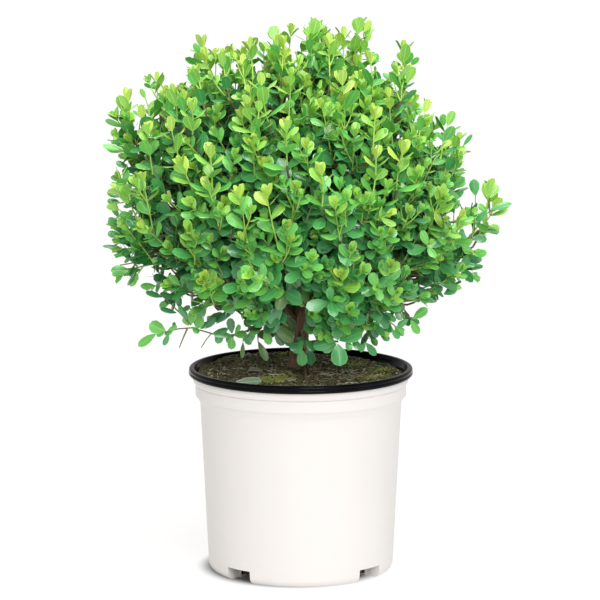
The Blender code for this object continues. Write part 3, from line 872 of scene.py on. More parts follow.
def bark(name, ridge_colour, fissure_colour, mossy):
    material, shader, wire = new_material(name, specular=0.3)
    here = place_of(wire)
    fissure = wire.node("Attribute", {"attribute_name": "fissure"}, out=2)
    fine = noise_at(wire, here, 900.0, 6.0, 0.65)
    patch = noise_at(wire, here, 120.0, 4.0)
    dark = step_between(wire, fissure * 0.8 + fine * 0.4, 0.42, 0.85)
    skin = mixed(wire, dark, ridge_colour, fissure_colour)
    grey = step_between(wire, patch, 0.52, 0.72)
    skin = mixed(wire, grey * 0.55, skin, (0.20, 0.165, 0.125, 1.0))
    if mossy:
        height = wire.node("SeparateXYZ", sockets={0: here}, out=2)
        low = 1.0 - step_between(wire, height, 0.202, 0.226)
        film = low * step_between(wire, fine, 0.45, 0.62) * 0.6
        skin = mixed(wire, film, skin, (0.075, 0.10, 0.03, 1.0))
    roughness = 0.62 + dark * 0.28
    plug_in(shader, skin, roughness, bumped(wire, fine - fissure * 0.5, 0.0005, 0.8))
    return material


# %% Trunk
TRUNK_STEPS = 64
FLARE_SHARE = 0.24  # of the trunk's height


def build_trunk():
    shares = [-0.03 + 1.03 * (i / TRUNK_STEPS) ** 1.3 for i in range(TRUNK_STEPS + 1)]

    def root_ridge(i, angle):
        fade = max(0.0, 1.0 - max(0.0, shares[i]) / FLARE_SHARE) ** 2
        return 1.0 + fade * (0.40 + 0.14 * math.cos(3 * angle + 0.6))

    bm = bmesh.new()
    centres = [trunk_point(share) for share in shares]
    add_limb(bm, centres, [trunk_radius(s) for s in shares], 40, 0.11, 0.0, root_ridge)
    bmesh.ops.recalc_face_normals(bm, faces=bm.faces[:])
    paint = bark("trunk_bark", (0.290, 0.165, 0.100, 1.0), (0.085, 0.045, 0.028, 1.0), True)
    finish_piece(object_from(bm, "trunk_bark", paint), "bark", "trunk", angle=0)


build_trunk()

# %% [markdown]
# ## Boughs and limbs
#
# Inside each mass the bough parts into a few limbs. They fan out over the mass's share of
# the crown, and every leafy shoot later leaves from the limb that is nearest to it.

# %% Boughs and limbs
LIMBS_EACH = 7
LIMB_ENDS = 0.64  # share of the outline
BOUGH_TIP_RADIUS = 0.0019
LIMB_TIP_RADIUS = 0.0011
BOUGH_STEPS = 18
LIMB_STEPS = 7
LIMB_ABOVE = 1.5  # how far a limb's end above a fork counts as further away


def around(way, turn, spread):
    """A direction that leans away from another by an angle, on one side of it."""
    side = way.orthogonal().normalized()
    side.rotate(Matrix.Rotation(turn, 3, way))
    return (way * math.cos(spread) + side * math.sin(spread)).normalized()


def tapered(first, last, steps):
    """Radii that run evenly from one to another."""
    return [first + (last - first) * i / steps for i in range(steps + 1)]


def build_boughs():
    """Boughs and limbs in one mesh. Gives back the places where the limbs end."""
    rng = random.Random(SEED)
    bm = bmesh.new()
    ends = []
    ways = dict(masses())
    for n, (name, (line, start)) in enumerate(bough_lines(BOUGH_STEPS).items()):
        add_limb(bm, line, tapered(start, BOUGH_TIP_RADIUS, BOUGH_STEPS), 14, 0.09, 3.7 * n)
        own = ways[name]
        heading = (line[-1] - line[-2]).normalized()
        for k in range(LIMBS_EACH):
            spread = 0.0 if k == 0 else math.radians(rng.uniform(15.0, 24.0))
            way = around(own, math.tau * (k + rng.uniform(-0.2, 0.2)) / (LIMBS_EACH - 1), spread)
            end = CROWN_CENTRE + way * crown_reach(way) * LIMB_ENDS * rng.uniform(0.94, 1.04)
            bend = line[-1] + heading * (end - line[-1]).length * 0.45
            path = curve_points(line[-1] - heading * 0.001, bend, end, LIMB_STEPS)
            thick = tapered(BOUGH_TIP_RADIUS * 0.8, LIMB_TIP_RADIUS, LIMB_STEPS)
            add_limb(bm, path, thick, 8, 0.07, n + k * 1.9)
            ends.append(end)
    bmesh.ops.recalc_face_normals(bm, faces=bm.faces[:])
    paint = bark("bough_bark", (0.250, 0.160, 0.095, 1.0), (0.085, 0.048, 0.028, 1.0), False)
    nodes = ["bough_" + name for name, _ in masses()]
    finish_piece(object_from(bm, "bough_bark", paint), "bark", *nodes, angle=0)
    return ends


limb_ends = build_boughs()
print("limb ends:", len(limb_ends))


def nearest_limb(place, above=0.0):
    """The limb's end nearest to a place, where those above it may count as further."""
    return min(limb_ends, key=lambda e: (e - place).length + above * max(0.0, e.z - place.z))


# %% [markdown]
# ## Openings in the crown
#
# A real crown is not solid. Low down the sky shows between the sprays, and so it does
# between the single shoots along the top. Near the trunk's head the leaves part in front,
# and the trunk and the dark inside show. Each opening is a small circle, as seen from the
# front, and no leaf is laid in it. Places in this table and the later ones are written in
# millimetres, across and up as they show on the upright plane through the trunk.

# %% Openings
MILLIMETRES = 1000  # in a metre
TRUNK_FRONT = -0.012  # leaves nearer than this hide the trunk's head


def in_metres(count, rows):
    """A table whose first numbers are millimetres, turned into metres."""
    return tuple((*(v / MILLIMETRES for v in row[:count]), *row[count:]) for row in rows)


SKY_OPENINGS = in_metres(3, (  # across, up, radius
    (-163, 458, 3.5), (-152, 472, 2.5), (-164, 476, 2), (-163, 422, 2), (-153, 483, 2),
    (-178, 372, 2.5), (-169, 364, 2), (-129, 372, 2), (-194, 414, 7), (-197, 404, 7),
    (-183, 416, 4), (-183, 311, 4), (-154, 303, 3), (-128, 302, 3), (-116, 272, 4), (-103, 279, 3),
    (-103, 270, 2), (-89, 263, 5), (-68, 258, 4), (-63, 250, 3.5), (-141, 275, 5), (-84, 503, 3.5),
    (-66, 507, 3), (-41, 510, 4), (-65, 487, 2.5), (-29, 489, 2), (-15, 474, 2.5), (-6, 528, 5),
    (-6, 511, 2), (172, 414, 5), (170, 403, 4), (-39, 543, 5), (-86, 531, 4), (76, 533, 5),
    (-122, 499, 6), (-121, 504, 6), (-130, 497, 4), (82, 521, 7), (68, 507, 2.5), (82, 508, 6),
    (95, 486, 2), (107, 485, 2), (115, 455, 2), (98, 439, 2), (122, 481, 4), (136, 477, 7),
    (136, 432, 3.5), (144, 458, 3), (180, 420, 6), (154, 360, 4), (153, 352, 2.5), (160, 346, 2),
    (164, 376, 5), (167, 340, 2.5), (176, 376, 3), (174, 327, 2), (192, 353, 4), (192, 338, 4),
    (123, 287, 2.5), (113, 297, 2), (109, 274, 3), (107, 265, 3), (118, 272, 3), (85, 260, 2.5),
    (97, 252, 3), (140, 270, 4), (158, 278, 4),
))
FRONT_OPENINGS = in_metres(3, ((-5, 262, 8.5), (-4, 249, 8), (-4, 238, 6.5)))


def seen_at(point):
    """Where a point shows on the upright plane through the trunk, from the front."""
    nearer = CAMERA_AWAY / (CAMERA_AWAY + point.y)
    return point.x * nearer, CAMERA_HEIGHT + (point.z - CAMERA_HEIGHT) * nearer


def at_depth(across, up, deep):
    """The point at a depth that shows at a place on that plane."""
    nearer = (CAMERA_AWAY + deep) / CAMERA_AWAY
    return Vector((across * nearer, deep, CAMERA_HEIGHT + (up - CAMERA_HEIGHT) * nearer))


def in_opening(point, margin):
    across, up = seen_at(point)
    rows = SKY_OPENINGS + (FRONT_OPENINGS if point.y < TRUNK_FRONT else ())
    return any(math.hypot(across - x, up - z) < radius + margin for x, z, radius in rows)


print("openings:", len(SKY_OPENINGS) + len(FRONT_OPENINGS))

# %% [markdown]
# ## One leaf
#
# A boxwood leaf is about two centimetres long, widest past its middle, blunt at the tip
# and narrow at the foot, folded a little along its pale midrib, with a fine pale margin.
# The template is a strip of four cross lines between two end points, forty triangles in
# all, and the narrow ones down its middle and along its edges are the midrib and the
# margin. Its first number runs along the leaf, the second across, and the height is worked
# out from both when it is placed.

# %% The leaf's template
LEAF_LINES = ((0.12, 0.16), (0.38, 0.42), (0.68, 0.49), (0.90, 0.33))
RIB = 0.028  # half the midrib's width, over the leaf's width
MARGIN = 0.055  # the margin's width, over the leaf's width
STRIPS = 5  # margin, blade, midrib, blade, margin


def leaf_template(lines):
    """Points as (along, across), the triangles, and which of them are midrib or margin."""
    points = [(0.0, 0.0)]
    for far, wide in lines:
        half = (wide, wide - MARGIN, RIB)
        points += [(far, v) for v in half] + [(far, -v) for v in reversed(half)]
    points.append((1.0, 0.0))
    pale = [k % 2 == 0 for k in range(STRIPS)]
    faces, marks = [(0, k + 2, k + 1) for k in range(STRIPS)], list(pale)
    row = STRIPS + 1
    for i in range(len(lines) - 1):
        for k in range(STRIPS):
            a = 1 + row * i + k
            faces += [(a, a + 1, a + row + 1), (a, a + row + 1, a + row)]
            marks += [pale[k], pale[k]]
    a, tip = 1 + row * (len(lines) - 1), len(points) - 1
    faces += [(a + k, a + k + 1, tip) for k in range(STRIPS)]
    return np.array(points), np.array(faces), np.array(marks + pale)


def leaf_shapes(rows):
    """Every leaf's points. A row is foot, along, face, length, width, fold, curl, dome."""
    template = leaf_template(LEAF_LINES)[0]
    u, v = template[:, 0][None, :, None], template[:, 1][None, :, None]
    foot, along, face = rows[:, None, 0:3], rows[:, None, 3:6], rows[:, None, 6:9]
    length, width = rows[:, None, 9:10], rows[:, None, 10:11]
    fold, curl, dome = rows[:, None, 11:12], rows[:, None, 12:13], rows[:, None, 13:14]
    across = np.cross(along, face)
    side = np.abs(v) - RIB * (np.abs(v) > 0)
    height = fold * side * width - side**2 * width * (fold + dome) - curl * length * u**2
    return foot + along * length * u + across * width * v + face * height


print("leaf triangles:", len(leaf_template(LEAF_LINES)[1]))

# %% [markdown]
# ## Leaf colours
#
# New growth is lime yellow, and each pair of leaves further down a shoot is older, greener
# and darker. A colour here is plain for a whole leaf, and a shoot takes one of three
# neighbouring tints of it, so the crown is mottled by sprays, as it is when each shoot has
# had its own share of light. New leaves are satin, and old ones are glossy under a coat of
# wax, which catches the light in broad pale patches.

# %% Leaf colours
LEAF_SHADES = {  # colour, roughness, coat, specular
    "lime": ((0.39, 0.60, 0.097), 0.40, 0.10, 0.35),
    "spring": ((0.265, 0.57, 0.092), 0.36, 0.15, 0.40),
    "bright": ((0.140, 0.48, 0.088), 0.32, 0.30, 0.45),
    "green": ((0.076, 0.350, 0.092), 0.28, 0.45, 0.50),
    "deep": ((0.060, 0.262, 0.092), 0.26, 0.55, 0.50),
    "inner": ((0.108, 0.222, 0.064), 0.33, 0.25, 0.35),
}
TINTS = ((0.84, 0.90, 1.00), (1.00, 1.00, 1.00), (1.12, 1.06, 1.08))
MARGIN_TINT = (1.55, 1.30, 1.35)


def leaf_paints(shade):
    """Three tints of a shade, and the paler colour of its midribs and margins."""
    colour, roughness, coat, specular = LEAF_SHADES[shade]
    paints = []
    for i, tint in enumerate((*TINTS, MARGIN_TINT)):
        tinted = tuple(min(0.95, c * t) for c, t in zip(colour, tint))
        paints.append(new_material(f"leaf_{shade}_{i}", tinted, roughness, coat, specular)[0])
    return paints


leaf_rows = {shade: [] for shade in LEAF_SHADES}
print("leaf paints:", len(LEAF_SHADES) * (len(TINTS) + 1))

# %% [markdown]
# ## A leafy shoot
#
# Boxwood leaves sit in opposite pairs, and each pair is a quarter turn from the last. At
# the very tip they are small, pale and nearly closed. `dress` walks back along a shoot from
# its tip and lays down pair after pair, each larger, further open and older than before.

# %% Dress a shoot with leaves
PAIR_STEPS = (0.0, 0.0008, 0.0030, 0.0068, 0.0100, 0.0125, 0.0135, 0.0135, 0.0130)
PAIR_LENGTHS = (0.0060, 0.0108, 0.0142, 0.0168, 0.0188, 0.0204, 0.0214, 0.0216, 0.0210)
PAIR_OPENED = (8.0, 18.0, 30.0, 40.0, 48.0, 54.0, 59.0, 63.0, 67.0)
PAIR_SLIM = (0.45, 0.53, 0.54, 0.54, 0.55, 0.57, 0.58, 0.59, 0.59)  # width over length
SHADE_ORDER = tuple(LEAF_SHADES)
TINT_ODDS = (0, 1, 1, 2)  # the middle tint is twice as common as either of the others
AXIL_PAIRS = range(4, 8)  # the pairs from whose axils side shoots may leave
SHADE_BY_PAIR = (0.0, 0.0, 0.3, 0.9, 1.6, 2.3, 2.9, 3.4, 3.8, 4.0)


def walk_back(path, distance):
    """The point and heading at a distance back from the end of a path."""
    for i in range(len(path) - 1, 0, -1):
        span = (path[i] - path[i - 1]).length
        if distance <= span or i == 1:
            heading = (path[i] - path[i - 1]).normalized()
            return path[i] - heading * distance, heading
        distance -= span


def lay_leaf(rng, foot, heading, out, opened, length, slim, shade, tint, young):
    """One leaf that opens from its shoot by an angle, and turns its face to the light."""
    along = heading * math.cos(opened) + out * math.sin(opened)
    face = heading * math.sin(opened) - out * math.cos(opened)
    outward = (foot - CROWN_CENTRE).normalized() + UP * 0.8
    light = outward - along * outward.dot(along)
    turned_up = rng.uniform(0.0, 0.3) if young else rng.uniform(0.15, 0.75)
    face = (face + light * turned_up).normalized()
    face = (face - along * face.dot(along)).normalized()
    if any(in_opening(foot + along * length * share, 0.0018) for share in (0.4, 0.85)):
        return
    width = length * slim * rng.uniform(0.92, 1.08)
    fold = 0.70 if young else rng.uniform(0.15, 0.40)
    curl = rng.uniform(-0.02, 0.05) if young else rng.uniform(0.02, 0.16)
    index = min(len(SHADE_ORDER) - 1, max(0, int(shade + rng.random())))
    dome = 0.1 if young else rng.uniform(0.35, 1.0)
    row = (*foot, *along, *face, length, width, fold, curl, dome, tint)
    leaf_rows[SHADE_ORDER[index]].append(row)


def dress(rng, path, leafy, vigour, age, shoots=None):
    """Opposite pairs of leaves, from the tip back over a leafy length. Where shoots is a
    list, it gets the places and directions where side shoots may leave."""
    side = (path[-1] - path[-2]).orthogonal().normalized()
    turn0 = rng.uniform(0.0, math.tau)
    tint = rng.choice(TINT_ODDS)
    distance, pair = 0.0, 0
    while True:
        k = min(pair, len(PAIR_STEPS) - 1)
        distance += PAIR_STEPS[k] * vigour * rng.uniform(0.85, 1.2)
        if distance > leafy:
            return
        foot, heading = walk_back(path, distance)
        level = (side - heading * side.dot(heading)).normalized()
        turn = turn0 + pair * math.pi / 2 + rng.uniform(-0.25, 0.25)
        shade = SHADE_BY_PAIR[min(pair, len(SHADE_BY_PAIR) - 1)] + age
        for half in (0.0, math.pi):
            out = level.copy()
            out.rotate(Matrix.Rotation(turn + half, 3, heading))
            opened = math.radians(PAIR_OPENED[k] * rng.uniform(0.8, 1.2))
            length = PAIR_LENGTHS[k] * vigour * rng.uniform(0.84, 1.16)
            lay_leaf(rng, foot, heading, out, opened, length, PAIR_SLIM[k], shade, tint, pair < 3)
            if shoots is not None and pair in AXIL_PAIRS:
                shoots.append((foot.copy(), heading.copy(), out.copy()))
        pair += 1


# %% [markdown]
# ## Twigs
#
# A twig is a thin tapering tube: brown where it is old, and yellow-green where it is this
# year's growth. There are thousands, so they are joined from arrays as the leaves are.

# %% Twigs
class TubeHeap:
    """Thin tubes that end up as one mesh."""

    def __init__(self, sides):
        self.sides = sides
        self.points = []
        self.faces = []
        self.slots = []
        self.count = 0

    def add(self, path, thick, thin, slot):
        last = len(path) - 1
        angles = [math.tau * k / self.sides for k in range(self.sides)]
        for i, (centre, _, across, other) in enumerate(frames_along(path)):
            radius = thick + (thin - thick) * i / last
            for a in angles:
                self.points.append(centre + (across * math.cos(a) + other * math.sin(a)) * radius)
        for i in range(last):
            low, high = self.count + i * self.sides, self.count + (i + 1) * self.sides
            for k in range(self.sides):
                n = (k + 1) % self.sides
                self.faces += [(low + k, low + n, high + n), (low + k, high + n, high + k)]
                self.slots += [slot, slot]
        self.count += (last + 1) * self.sides

    def piece(self, name, *materials):
        points = np.array([p[:] for p in self.points])
        return mesh_of(name, points, np.array(self.faces), np.array(self.slots), materials)


brown_twigs = TubeHeap(5)
green_stems = TubeHeap(4)


def add_twig(path, leafy, thick, old):
    """A twig that is brown up to its leafy part, and green from there on."""
    lengths = [0.0]
    for a, b in zip(path, path[1:]):
        lengths.append(lengths[-1] + (b - a).length)
    turn = min(range(len(path)), key=lambda i: abs(lengths[i] - (lengths[-1] - leafy)))
    share = lengths[turn] / lengths[-1]
    middle = max(0.0010, thick * (1.0 - share) + 0.0010 * share)
    if turn > 0:
        brown_twigs.add(path[: turn + 1], thick, middle, min(old, 1))
    if turn < len(path) - 1:
        green_stems.add(path[turn:], middle, 0.0007, old)


# %% [markdown]
# ## The crown
#
# The tips of the shoots are spread over the crown's outline by the golden angle, which keeps
# them even from every side. They come in three layers. The young shoots reach the outline
# and rise well clear of the rest, older ones close the crown behind them, and dark twigs
# fill it inside, so that there is depth between the tips and no daylight in the middle.

# %% Tips all over the outline
LOWEST_SHOOT = -58.0  # below this elevation there is only the trunk
CLUMPS = 0.045  # how far the outline swells and sinks from clump to clump


def spread_over_sphere(count):
    """Directions spread evenly over a sphere, a golden angle apart."""
    golden = math.pi * (3.0 - math.sqrt(5.0))
    ways = []
    for i in range(count):
        z = 1.0 - (2.0 * i + 1.0) / count
        r = math.sqrt(1.0 - z * z)
        ways.append(Vector((r * math.cos(golden * i), r * math.sin(golden * i), z)))
    return ways


def any_way(rng, size):
    """A small random push."""
    return Vector((rng.gauss(0, 1), rng.gauss(0, 1), rng.gauss(0, 1))) * size


def layer_tips(rng, count, nearest, furthest):
    """Tips between two shares of the outline, even all round."""
    tips = []
    for way in spread_over_sphere(count):
        if math.degrees(math.asin(way.z)) < LOWEST_SHOOT:
            continue
        way = (way + any_way(rng, 0.03)).normalized()
        swell = CLUMPS * noise.noise(way * 4.0 + Vector((5.0, 2.0, 1.0)))
        share = rng.uniform(nearest, furthest) + swell
        tip = CROWN_CENTRE + way * crown_reach(way) * share
        if not in_opening(tip, 0.002):
            tips.append(tip)
    return tips


# %% [markdown]
# ## How a shoot grows
#
# A shoot forks from an older twig, which comes from the nearest limb, and runs almost
# straight to its tip. High on the crown it stands upright, and low down it leans out and
# its leaves are older. The leaves go on past the fork for a while, and short side shoots
# leave from the axils.

# %% Grow a shoot
LAST_LEAVES = 0.0085  # from a shoot's end to the tips of its last leaves


def grow(rng, tip, fork, age, thick, past=0.0, axils=None, vigour=1.0):
    """A twig from the nearest limb to a fork and on to a tip, with its leaves, which go
    on past the fork by a length."""
    heading = (tip - fork).normalized()
    end = tip - heading * LAST_LEAVES * vigour
    leafy = (end - fork).length
    limb = nearest_limb(fork, LIMB_ABOVE)
    span = (fork - limb).length
    bow = any_way(rng, leafy * 0.04)
    path = curve_points(limb, fork - heading * span * 0.4, fork, 5)[:-1]
    path += curve_points(fork, fork.lerp(end, 0.5) + bow, end, 6)
    if axils is None and in_opening(end, 0.004):
        return
    if sum(in_opening(point, 0.001) for point in path) > 1:
        return
    add_twig(path, leafy * 0.95, thick, 2 if age > 0.9 else rng.choice((0, 1)))
    vigour *= rng.uniform(0.92, 1.08) - 0.08 * min(1.0, age)
    dress(rng, path, min(leafy + past, leafy + span * 0.9), vigour, age, axils)


def grow_out(rng, tip, length, age, upright, wander, thick, past=0.0, axils=None):
    """A shoot to a tip, as upright as its fork can be inside the crown."""
    out = (tip - CROWN_CENTRE).normalized()
    push = any_way(rng, wander)
    low = min(1.0, max(0.0, -out.z * 1.8))
    for lift in (upright, upright * 0.6, upright * 0.3, 0.0):
        heading = ((out + UP * lift).normalized() + push).normalized()
        fork = tip - heading * length
        if crown_share(fork) < 0.86 + 0.08 * low:
            break
    if crown_share(fork) > 0.97:
        return
    grow(rng, tip, fork, age + 0.6 * low, thick, past, axils)


def grow_side(rng, place, age):
    """A short shoot from a leaf's axil, that turns up beside the main one."""
    foot, heading, out = place
    length = rng.uniform(0.016, 0.032)
    way = (heading * 0.9 + out * 0.55 + UP * 0.4).normalized()
    end = foot + way * length
    if crown_share(end) > 0.985 or in_opening(end, 0.003):
        return
    path = curve_points(foot, foot + way * length * 0.5 + out * length * 0.10, end, 4)
    add_twig(path, length * 0.9, 0.0010, 0)
    dress(rng, path, length * 0.86, rng.uniform(0.70, 0.92), age + 0.7)


# %% [markdown]
# ## Shoots that give the plant its own look
#
# Even spacing alone gives a clipped ball. The real plant has a broad shoulder, tall single
# shoots and ragged low sprays, so its most telling shoots are listed: where each
# one's tip and fork are across and up, as seen from the front, how old it is, and for a
# few how vigorous. Their depth is found on the crown's front.

# %% Shoots that show most
SHOWN_SHOOTS = in_metres(4, (  # tip across and up, fork across and up, age, vigour
    (-98, 535, -93, 509, -0.1, 1.2), (-103, 513, -95, 480, 0.0), (-77, 529, -71, 490, 0.0),
    (-50, 537, -46, 494, -0.2), (-22, 542, -21, 496, -0.4), (-143, 502, -139, 463, 0.0),
    (-162, 491, -163, 449, 0.0), (-133, 493, -127, 456, 0.2), (-104, 485, -104, 450, -0.2),
    (-180, 475, -167, 429, 0.0), (-127, 465, -111, 415, -0.5), (-149, 459, -143, 409, 0.1),
    (-86, 444, -84, 396, -0.4), (-52, 488, -40, 438, -0.4), (-39, 510, -31, 465, -0.1),
    (-14, 471, -13, 426, 0.0), (-154, 414, -144, 357, 0.0), (-184, 420, -171, 381, 0.4),
    (-187, 462, -167, 429, 0.4), (-187, 444, -166, 412, 0.8), (11, 555, 12, 512, 0.5),
    (59, 554, 50, 509, -0.1, 1.25), (43, 545, 40, 505, -0.3), (27, 541, 28, 503, -0.2),
    (67, 526, 69, 485, -0.2), (101, 533, 98, 480, 0.1, 1.15), (39, 514, 40, 439, -0.1, 1.38),
    (71, 480, 68, 435, -0.2), (122, 481, 112, 438, 0.0), (145, 466, 135, 424, 0.4),
    (98, 448, 91, 400, -0.4), (19, 430, 20, 388, 0.0), (42, 404, 43, 368, 0.9),
    (155, 449, 141, 406, 0.2), (160, 415, 155, 370, 0.5), (190, 393, 176, 336, -0.1),
    (139, 373, 137, 321, -0.2), (155, 376, 148, 333, 0.0), (198, 376, 177, 344, 0.3),
    (-90, 414, -78, 367, 0.0), (-59, 408, -52, 345, 0.0), (-34, 409, -18, 338, -0.3),
    (-12, 377, -14, 342, 0.4), (-106, 369, -102, 326, 0.1), (-115, 337, -106, 295, -0.1),
    (-93, 320, -84, 282, -0.2), (-160, 328, -151, 298, 0.2), (-184, 393, -156, 387, -0.2),
    (-189, 376, -164, 361, 0.9), (-192, 351, -163, 342, 1.0), (-187, 335, -157, 333, 1.2),
    (-173, 396, -156, 352, 0.7), (36, 328, 44, 298, -0.1), (86, 333, 80, 306, 0.0),
    (72, 445, 64, 380, -0.4), (31, 398, 37, 355, 0.2), (107, 511, 99, 480, 0.2),
    (92, 516, 97, 480, 0.3), (67, 548, 56, 508, 0.2), (-156, 473, -148, 430, 0.1),
    (-153, 487, -150, 446, 0.1), (-173, 483, -165, 436, 0.1), (156, 434, 144, 398, 0.3, 0.95),
    (-187, 325, -158, 330, 1.1), (-194, 431, -168, 404, 0.6), (18, 551, 15, 508, 0.3),
    (-16, 541, -19, 499, 0.0), (6, 548, 8, 513, 0.7, 0.95), (-57, 524, -52, 492, -0.1, 0.95),
    (-123, 494, -119, 460, 0.3), (-113, 491, -110, 456, 0.3),
))
LOW_SPRAYS = in_metres(4, (
    (-188, 308, -147, 321, 1.3), (-168, 293, -150, 321, 0.6), (-154, 287, -125, 301, 1.8),
    (-139, 269, -116, 285, 2.0), (-130, 268, -108, 280, 1.6), (-95, 241, -84, 276, 1.8),
    (-69, 243, -62, 274, 1.6), (-186, 300, -150, 313, 1.4), (86, 246, 70, 262, 1.5),
    (100, 248, 82, 264, 1.7), (119, 274, 100, 276, 1.5), (-119, 256, -105, 286, 1.4),
    (116, 244, 102, 269, 2.0), (143, 275, 121, 298, 2.0), (156, 289, 128, 303, 1.8),
    (179, 296, 149, 314, 1.4), (174, 332, 160, 317, 1.0), (197, 347, 166, 356, 1.0),
    (74, 229, 64, 258, 1.6),
))
OTHER_TIPS = ((0.020, 0.192, 0.400), (-0.050, -0.188, 0.330), (-0.190, 0.020, 0.306))
SIGHT_START = -0.24  # in front of the crown
SIGHT_STEP = 0.003
SIGHT_STEPS = 90
SHOWN_VIGOUR = 1.08  # where a row has none of its own


def on_front(across, up, share):
    """The first point from the front that is inside a share of the outline, or else the
    deepest one on that line of sight."""
    line = [Vector((across, SIGHT_START + SIGHT_STEP * i, up)) for i in range(SIGHT_STEPS)]
    for point in line:
        if crown_share(point) <= share:
            return point
    return min(line, key=crown_share)


def shown(row, tip_share=0.99, fork_share=0.89):
    """The tip and the fork of a shoot from a row of the table."""
    tip = on_front(row[0], row[1], tip_share)
    fork = on_front(row[2], row[3], fork_share)
    fork.y = max(fork.y, tip.y - 0.02)
    return tip, fork


shown_tips = [shown(row)[0] for row in SHOWN_SHOOTS + LOW_SPRAYS]
print("shoots set out by hand:", len(shown_tips))

# %% Young shoots
YOUNG_SHOOTS = 290
YOUNG_SHARES = (0.90, 1.01)
SIDE_CHANCE = 0.22
CLEAR_OF_SHOWN = 0.024
BEHIND_SHOWN = 0.05  # all shown shoots are in front of this depth

shoot_rng = random.Random(SEED + 2)
axils = []
for row in SHOWN_SHOOTS + LOW_SPRAYS:
    mine = []
    vigour = row[5] if len(row) > 5 else SHOWN_VIGOUR
    grow(shoot_rng, *shown(row), row[4], thick=0.0013, past=0.030, axils=mine, vigour=vigour)
    axils += [(place, row[4]) for place in mine]
young = [
    tip
    for tip in layer_tips(shoot_rng, YOUNG_SHOOTS, *YOUNG_SHARES)
    if tip.y > BEHIND_SHOWN or min((tip - s).length for s in shown_tips) > CLEAR_OF_SHOWN
]
for tip in [Vector(place) for place in OTHER_TIPS] + young:
    mine = []
    high = min(1.0, max(-1.0, (tip.z - 0.40) / 0.12))
    age = shoot_rng.uniform(-0.1, 0.7) - 0.35 * high
    length, upright = shoot_rng.uniform(0.045, 0.075), 1.3 + 0.6 * high
    grow_out(shoot_rng, tip, length, age, upright, wander=0.14, thick=0.0012, past=0.028, axils=mine)
    axils += [(place, age) for place in mine]
for place, age in axils:
    if shoot_rng.random() < SIDE_CHANCE:
        grow_side(shoot_rng, place, age)
print("leaves on young shoots:", sum(map(len, leaf_rows.values())))

# %% Older shoots behind them
OLDER_SHOOTS = 640
OLDER_SHARES = (0.77, 0.92)

for tip in layer_tips(shoot_rng, OLDER_SHOOTS, *OLDER_SHARES):
    age = shoot_rng.uniform(1.0, 2.3) - 1.3 * min(1.0, max(0.0, (tip.z - 0.38) / 0.12))
    upright = 1.7 if tip.z > 0.36 else 0.9
    length = shoot_rng.uniform(0.038, 0.055)
    grow_out(shoot_rng, tip, length, age, upright, wander=0.30, thick=0.0011)
print("leaves with older shoots:", sum(map(len, leaf_rows.values())))

# %% Dark twigs inside
INNER_TWIGS = 600
INNER_SHARES = (0.60, 0.79)
INNER_AGES = (2.8, 3.8)
DARK_BEHIND = 70  # low down behind the trunk
DARK_BOX = ((-0.075, 0.075), (0.035, 0.125), (0.240, 0.300))

for tip in layer_tips(shoot_rng, INNER_TWIGS, *INNER_SHARES):
    length, age = shoot_rng.uniform(0.035, 0.055), shoot_rng.uniform(*INNER_AGES)
    grow_out(shoot_rng, tip, length, age, upright=0.8, wander=0.35, thick=0.0010)
for _ in range(DARK_BEHIND):
    tip = Vector([shoot_rng.uniform(*sides) for sides in DARK_BOX])
    age = shoot_rng.uniform(*INNER_AGES)
    grow_out(shoot_rng, tip, 0.045, age, upright=0.0, wander=0.5, thick=0.0010)
print("leaves with the inside:", sum(map(len, leaf_rows.values())))

# %% [markdown]
# ## Rosettes
#
# Some shoots point straight out at the front. They are seen end on, as a cross of two or
# three pairs of large leaves, and these stand out in the lower half of the crown.

# %% Rosettes that face the front
ROSETTES = (  # across, up, how far out, leaf length, turn, age
    (-0.060, 0.292, 0.97, 0.020, 0.30, 2.2),
    (0.002, 0.306, 0.96, 0.020, 0.75, 2.6),
    (0.032, 0.274, 0.97, 0.021, 0.20, 2.5),
    (0.076, 0.286, 0.97, 0.020, 0.50, 2.4),
    (0.128, 0.330, 0.96, 0.019, 0.35, 2.1),
)
ROSETTE_PAIRS = (  # size, how far open, how far back, how much older
    (0.50, 30.0, 0.0020, -0.9),
    (0.80, 58.0, 0.0070, 0.0),
    (1.0, 74.0, 0.0150, 0.5),
)


def grow_rosette(rng, across, up, share, length, turn, age):
    """A twig that ends facing the front, with three pairs of leaves round its tip."""
    sight = (at_depth(across, up, -0.25 + SIGHT_STEP * i) for i in range(SIGHT_STEPS))
    tip = next(point for point in sight if crown_share(point) <= share)
    limb = nearest_limb(tip)
    heading = Vector((rng.uniform(-0.45, 0.45), -1.0, rng.uniform(0.0, 0.6))).normalized()
    path = curve_points(limb, tip - heading * 0.022, tip, 8)
    add_twig(path, 0.018, 0.0012, 2)
    side = Vector((1.0, 0.0, 0.0))
    side = (side - heading * side.dot(heading)).normalized()
    for pair, (size, opened, back, older) in enumerate(ROSETTE_PAIRS):
        for half in (0.0, math.pi):
            out = side.copy()
            spin = turn + pair * math.pi / 2 + half + rng.uniform(-0.3, 0.3)
            out.rotate(Matrix.Rotation(spin, 3, heading))
            foot = tip - heading * back
            angle = math.radians(opened * rng.uniform(0.75, 1.2))
            long = length * size * rng.uniform(0.82, 1.15)
            lay_leaf(rng, foot, heading, out, angle, long, 0.56, age + older, 1, pair == 0)


rosette_rng = random.Random(SEED + 5)
for row in ROSETTES:
    grow_rosette(rosette_rng, *row)
print("rosettes:", len(ROSETTES))

# %% [markdown]
# ## Leaves set out one by one
#
# The lowest sprays hang apart from the rest, so each of their leaves can be told. A sprig
# leaves the trunk near its foot and holds a cross of large leaves over the mix, darker ones
# hide the trunk's foot, and a thin bough dips out of the crown on the left. Each leaf is
# set by where its foot and tip show from the front, and by its depth. Its width is in tenths
# of a millimetre, and its shade counts from the youngest.

